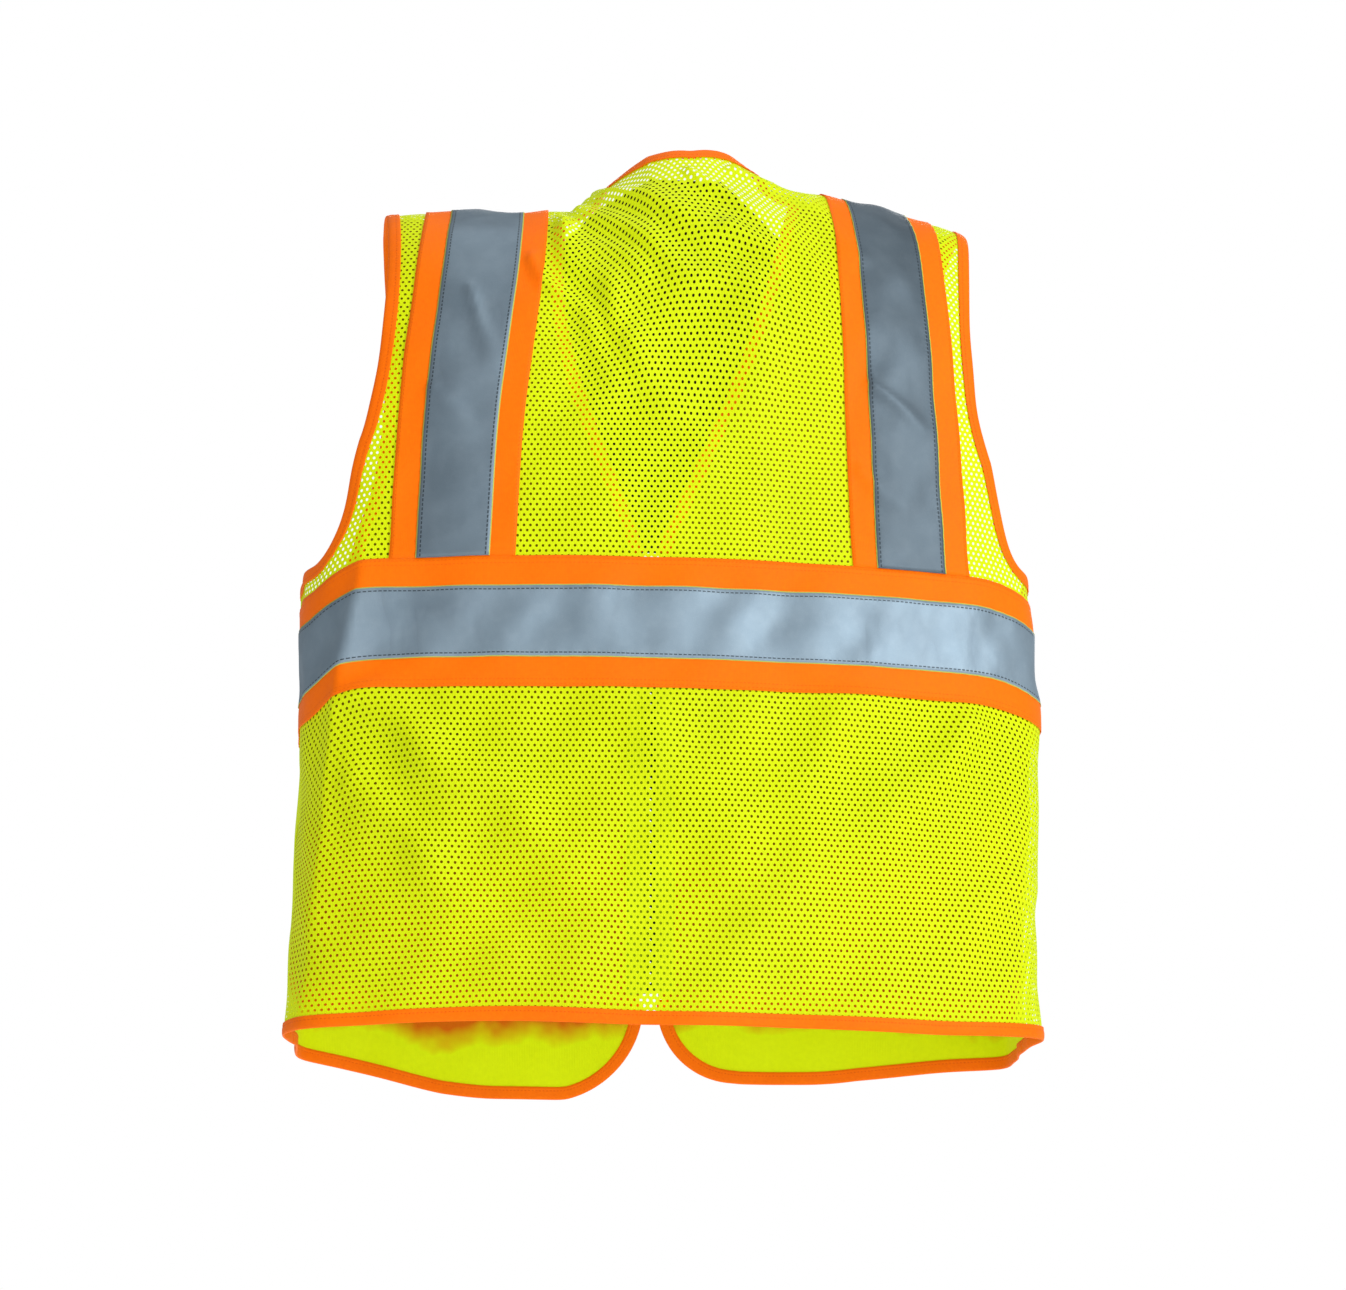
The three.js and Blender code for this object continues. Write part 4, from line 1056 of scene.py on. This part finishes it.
def makePocket(sign, pocket, pocketName, flapBody=None):
    left, right = pocket["left"], pocket["right"]
    middle, half = (left + right) / 2, pocket["gripWidth"] / 2

    def lift(x, z):
        return pocketLift(pocket, x, z)

    makePatch(pocketName + "_cloth", sign, (left, right), (pocket["top"], pocket["bottom"]), flap["corner"],
              lift, layers["pocketCloth"], pocketCloth, pocketName, "garment")
    if not flapBody:
        return
    flapBottom = pocket["flapTop"] - pocket["flapDrop"]
    gripLow = flapBottom + flap["gripRise"]
    gripAcross, gripUpright = (middle - half, middle + half), (gripLow + flap["gripHeight"], gripLow)
    over = layers["pocketCloth"] + 0.0003
    above = over + 0.0019

    def loopLift(x, z):
        return lift(x, z) + over

    def flapLift(x, z):  # lies on the body at its seam and over the pocket's patches below
        dropped = ease(pocket["flapTop"] - z, 0.001, flap["bendLength"])
        return pocket["base"] + (lift(x, z) - pocket["base"] + above) * dropped

    def hookLift(x, z):  # on the inner face of the flap
        return flapLift(x, z) - 0.0009

    start = (sign * middle, 0, pocket["flapTop"] - 0.001)
    end = (sign * middle, 0, pocket["flapTop"] - flap["bendLength"])
    makePatch(pocketName + "_loop_patch", sign, gripAcross, gripUpright, 0.001, loopLift, flap["gripCloth"],
              hookLoop, pocketName + "_loop", "garment")
    makePatch(pocketName + "_flap_cloth", sign, (left - flap["overhang"], right + flap["overhang"]),
              (pocket["flapTop"], flapBottom), flap["corner"], flapLift, flap["cloth"], pocketCloth,
              pocketName + "_flap", ("garment", flapBody, start, end))
    makePatch(pocketName + "_hook_patch", sign, gripAcross, gripUpright, 0.001, hookLift, flap["gripCloth"],
              hookLoop, pocketName + "_flap_hook", flapBody)


def makePockets():
    makePocket(1, lowerPocket, "left_lower_pocket", "left_pocket_flap")
    makePocket(-1, lowerPocket, "right_lower_pocket", "right_pocket_flap")
    makePocket(1, chestPocket, "radio_pocket", "radio_flap")
    makePocket(-1, chestPocket, "pen_pocket")


tab = {
    "width": 0.022,
    "height": 0.046,
    "middle": -0.1029,
    "bow": 0.0022,
    "sewn": 0.008,  # length sewn down at each end
    "cloth": 0.0013,
}


def makeTabs():  # sewn down at both ends, bowed between
    half = tab["height"] / 2

    def bowed(x, z):
        share = np.clip((half - tab["sewn"] - np.abs(z - tab["middle"])) / (half - tab["sewn"]), 0, 1)
        return layers["onStrap"] + tab["bow"] * np.sin(share * math.pi / 2) ** 2

    sides = (trim["strapTop"] - tab["width"] / 2, trim["strapTop"] + tab["width"] / 2)
    ends = (tab["middle"] + half, tab["middle"] - half)
    for hand, sign in hands.items():
        makePatch(hand + "_tab_webbing", sign, sides, ends, 0.0008, bowed, tab["cloth"], webbing,
                  hand + "_microphone_tab", "garment", step=0.0015)


zipper = {
    "inner": 0.0006,  # edges of one cloth tape, from the middle line
    "outer": 0.0173,
    "top": -0.231,
    "bottom": -0.5577,
    "lift": -0.00085,
    "cloth": 0.0005,
}
teeth = {
    "pitch": 0.008,
    "height": 0.0036,
    "depth": 0.0022,
    "reach": 0.0013,  # past the middle line
    "root": 0.0042,
    "waistAt": 0.0008,
    "waistLength": 0.0009,
    "waistShare": 0.4,
    "bevel": 0.00025,
}


def makeTooth(sign, height):  # one moulded tooth: a waisted block whose head passes the middle line
    bpy.ops.object.select_all(action="DESELECT")
    length = teeth["root"] + teeth["reach"]
    middle = sign * (teeth["root"] - teeth["reach"]) / 2
    low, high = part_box("left_zipper_teeth")
    bpy.ops.mesh.primitive_cube_add(size=1, location=(middle, (low.y + high.y) / 2, height),
                                    scale=(length, teeth["depth"], teeth["height"]))
    tooth = bpy.context.object
    bpy.ops.object.transform_apply(location=True, rotation=True, scale=True)
    bpy.ops.object.mode_set(mode="EDIT")
    bpy.ops.mesh.subdivide(number_cuts=2)
    bpy.ops.object.mode_set(mode="OBJECT")
    for spot in tooth.data.vertices:
        fromMiddle = sign * spot.co.x
        waist = math.exp(-((fromMiddle - teeth["waistAt"]) / teeth["waistLength"]) ** 2)
        spot.co.z = height + (spot.co.z - height) * (1 - teeth["waistShare"] * waist)
    useModifier(tooth, "BEVEL", width=teeth["bevel"], segments=1, limit_method="ANGLE")
    return tooth


def makeTeeth(sign, hand):
    node = hand + "_zipper_teeth"
    low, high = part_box(node)
    offset = 0 if sign > 0 else teeth["pitch"] / 2
    first = makeTooth(sign, high.z - teeth["height"] / 2 - offset)
    copies = [first]
    for number in range(1, int((high.z - low.z - offset) / teeth["pitch"])):
        copy = addObject(node + "_copy", first.data.copy())
        for spot in copy.data.vertices:
            spot.co.z -= number * teeth["pitch"]
        copies.append(copy)
    bpy.ops.object.select_all(action="DESELECT")
    for copy in copies:
        copy.select_set(True)
    bpy.context.view_layer.objects.active = first
    bpy.ops.object.join()
    first.name = node + "_moulded"
    setMaterial(first, plastic)
    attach(first, "garment")
    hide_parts(node)


def makeZipper():
    for hand, sign in hands.items():
        start = float(patternAt(frontSide, 0.01, zipper["top"])[1])
        end = float(patternAt(frontSide, 0.01, zipper["bottom"])[1])
        offset = np.linspace(zipper["inner"], zipper["outer"], 14)
        down, offset = np.meshgrid(np.linspace(start, end, 120), offset, indexing="ij")
        uv = np.stack([down, offset], -1)
        name = hand + "_zipper_tape"
        lift = np.full(down.shape, zipper["lift"])
        piece = makeStrip(name + "_cloth", frontSide, sign * offset, down, lift, zipper["cloth"], uv,
                          zipperCloth)
        finishCloth(piece, [name], (zipper["outer"] - zipper["inner"], end - start))
        makeTeeth(sign, hand)
    for name in ("left_zipper_top_stop", "right_zipper_top_stop", "zipper_retainer_box",
                 "zipper_insertion_pin"):
        setMaterial(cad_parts[name], plastic)
    for name in ("zipper_slider", "zipper_pull"):
        setMaterial(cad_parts[name], paint)


def setMaterial(piece, material):
    piece.data.materials.clear()
    piece.data.materials.append(material)


limeMesh, orangeTrim, orangeBinding = limeMeshLook(), orangeTrimLook(), orangeBindingLook()
limeSolid, limeInner = limeSolidLook("lime_solid"), limeSolidLook("lime_solid_inside", shaded=True)
pocketCloth, zipperCloth = pocketClothLook(), zipperClothLook()
silverTape = silverTapeLook("silver_tape", 1.0)
strapTape = {  # tinted darker than the waist's, to stand for less light on them
    "left": silverTapeLook("silver_tape_left", 0.71),
    "right": silverTapeLook("silver_tape_right", 0.46),
}
webbing, hookLoop = webbingLook(), hookLoopLook()
plastic = darkLook("zipper_plastic", colour(10, 10, 11), colour(30, 30, 32), 0.38, 900.0, 0.00006)
paint = darkLook("slider_paint", colour(6, 6, 7), colour(24, 24, 26), 0.28, 500.0, 0.00004)
print("materials made")

makeBackPanel()
for hand, sign in hands.items():
    makeFrontPanel(sign, hand + "_front_panel")
print("panels made")
makeBands()
print("trims and tapes made")
makeBindings()
print("bindings made")
makePockets()
makeTabs()
makeZipper()
print("pockets, tabs and zipper made")


view = {
    "azimuth": 173.7,
    "elevation": -14.3,
    "distance": 2.4,
    "target": (-0.004, 0, -0.327),
    "lens": 90.9,
}
# a dark card that stands in for the shade inside the vest, seen through the mesh
shadeCard = {
    "distance": 5.0,  # behind the vest
    # where the lines of sight to the card's corners pass the vest, as (x, z)
    "outline": [(0.095, -0.26), (-0.095, -0.26), (-0.092, -0.03), (-0.07, -0.006),
                (-0.04, 0.024), (0.012, 0.024), (0.052, -0.002), (0.08, -0.034)],
}
floorHeight, floorGlow, roomLight = -1.6, 0.42, 0.32
lights = [  # name, place, size, watts
    ("key", (-2.6, 3.2, 0.9), 1.6, 118),
    ("fill", (-0.4, 3.8, -0.9), 2.0, 26),
    ("front", (-0.8, -3.4, 1.4), 2.2, 60),
    ("top", (0.0, 0.4, 2.6), 2.0, 24),
]


def aim(piece, target):
    direction = asVector(target) - piece.location
    piece.rotation_euler = direction.to_track_quat("-Z", "Y").to_euler()


def setStage():
    bpy.ops.object.select_all(action="DESELECT")
    bpy.ops.mesh.primitive_plane_add(size=60, location=(0, 0, floorHeight))
    floor = bpy.context.object
    floor.name = "floor"
    look = Look("pale_floor", Roughness=0.9)
    grain = look.noise(3.0, 3.0)
    look.give(Base_Color=look.mix(grain, colour(236, 236, 236), colour(246, 246, 246)),
              Emission_Color=(1, 1, 1, 1), Emission_Strength=floorGlow)
    floor.data.materials.append(look.material)
    for name, location, size, watts in lights:
        lamp = bpy.data.lights.new(name, "AREA")
        lamp.size, lamp.energy = size, watts
        holder = addObject(name, lamp)
        holder.location = location
        aim(holder, (0, 0, -0.3))
    world = bpy.data.worlds.new("studio")
    world.use_nodes = True
    bpy.context.scene.world = world
    nodes, links = world.node_tree.nodes, world.node_tree.links
    soft, white = nodes["Background"], nodes.new("ShaderNodeBackground")
    soft.inputs[0].default_value, soft.inputs[1].default_value = colour(250, 252, 255), roomLight
    white.inputs[0].default_value, white.inputs[1].default_value = (1, 1, 1, 1), 1.0
    path, either = nodes.new("ShaderNodeLightPath"), nodes.new("ShaderNodeMixShader")
    links.new(path.outputs["Is Camera Ray"], either.inputs[0])
    links.new(soft.outputs[0], either.inputs[1])
    links.new(white.outputs[0], either.inputs[2])
    links.new(either.outputs[0], nodes["World Output"].inputs[0])
    bpy.context.scene.view_settings.view_transform = "Standard"


def addShadeCard():  # a dark card far behind: painted shade that stands in for the dark inside of the vest, so that no white shows through the mesh of the upper back
    away = shadeCard["distance"]
    eye = cameraPlace()
    corners = []
    for x, z in shadeCard["outline"]:
        spot = np.array([x, 0.0, z])
        corners.append(eye + (spot - eye) * (eye[1] + away) / (eye[1] - spot[1]))
    bpy.ops.object.select_all(action="DESELECT")
    card = makePiece("dark_shade_card", np.array(corners), [range(len(corners))])
    look = Look("painted_shade_card", Roughness=1.0)
    weave = look.noise(40.0, 2.0)
    look.give(Base_Color=look.mix(weave, colour(34, 22, 12), colour(58, 34, 16)))
    setMaterial(card, look.material)


def cameraPlace():
    turned, raised = math.radians(view["azimuth"]), math.radians(view["elevation"])
    level = math.cos(raised)
    direction = (math.sin(turned) * level, -math.cos(turned) * level, math.sin(raised))
    return np.array(view["target"]) + view["distance"] * np.array(direction)


def setCamera():
    lens = bpy.data.cameras.new("camera")
    lens.lens, lens.sensor_width = view["lens"], 36
    camera = addObject("camera", lens)
    camera.location = cameraPlace()
    aim(camera, view["target"])
    bpy.context.scene.camera = camera


setStage()
addShadeCard()
setCamera()
print("stage, light and camera set")
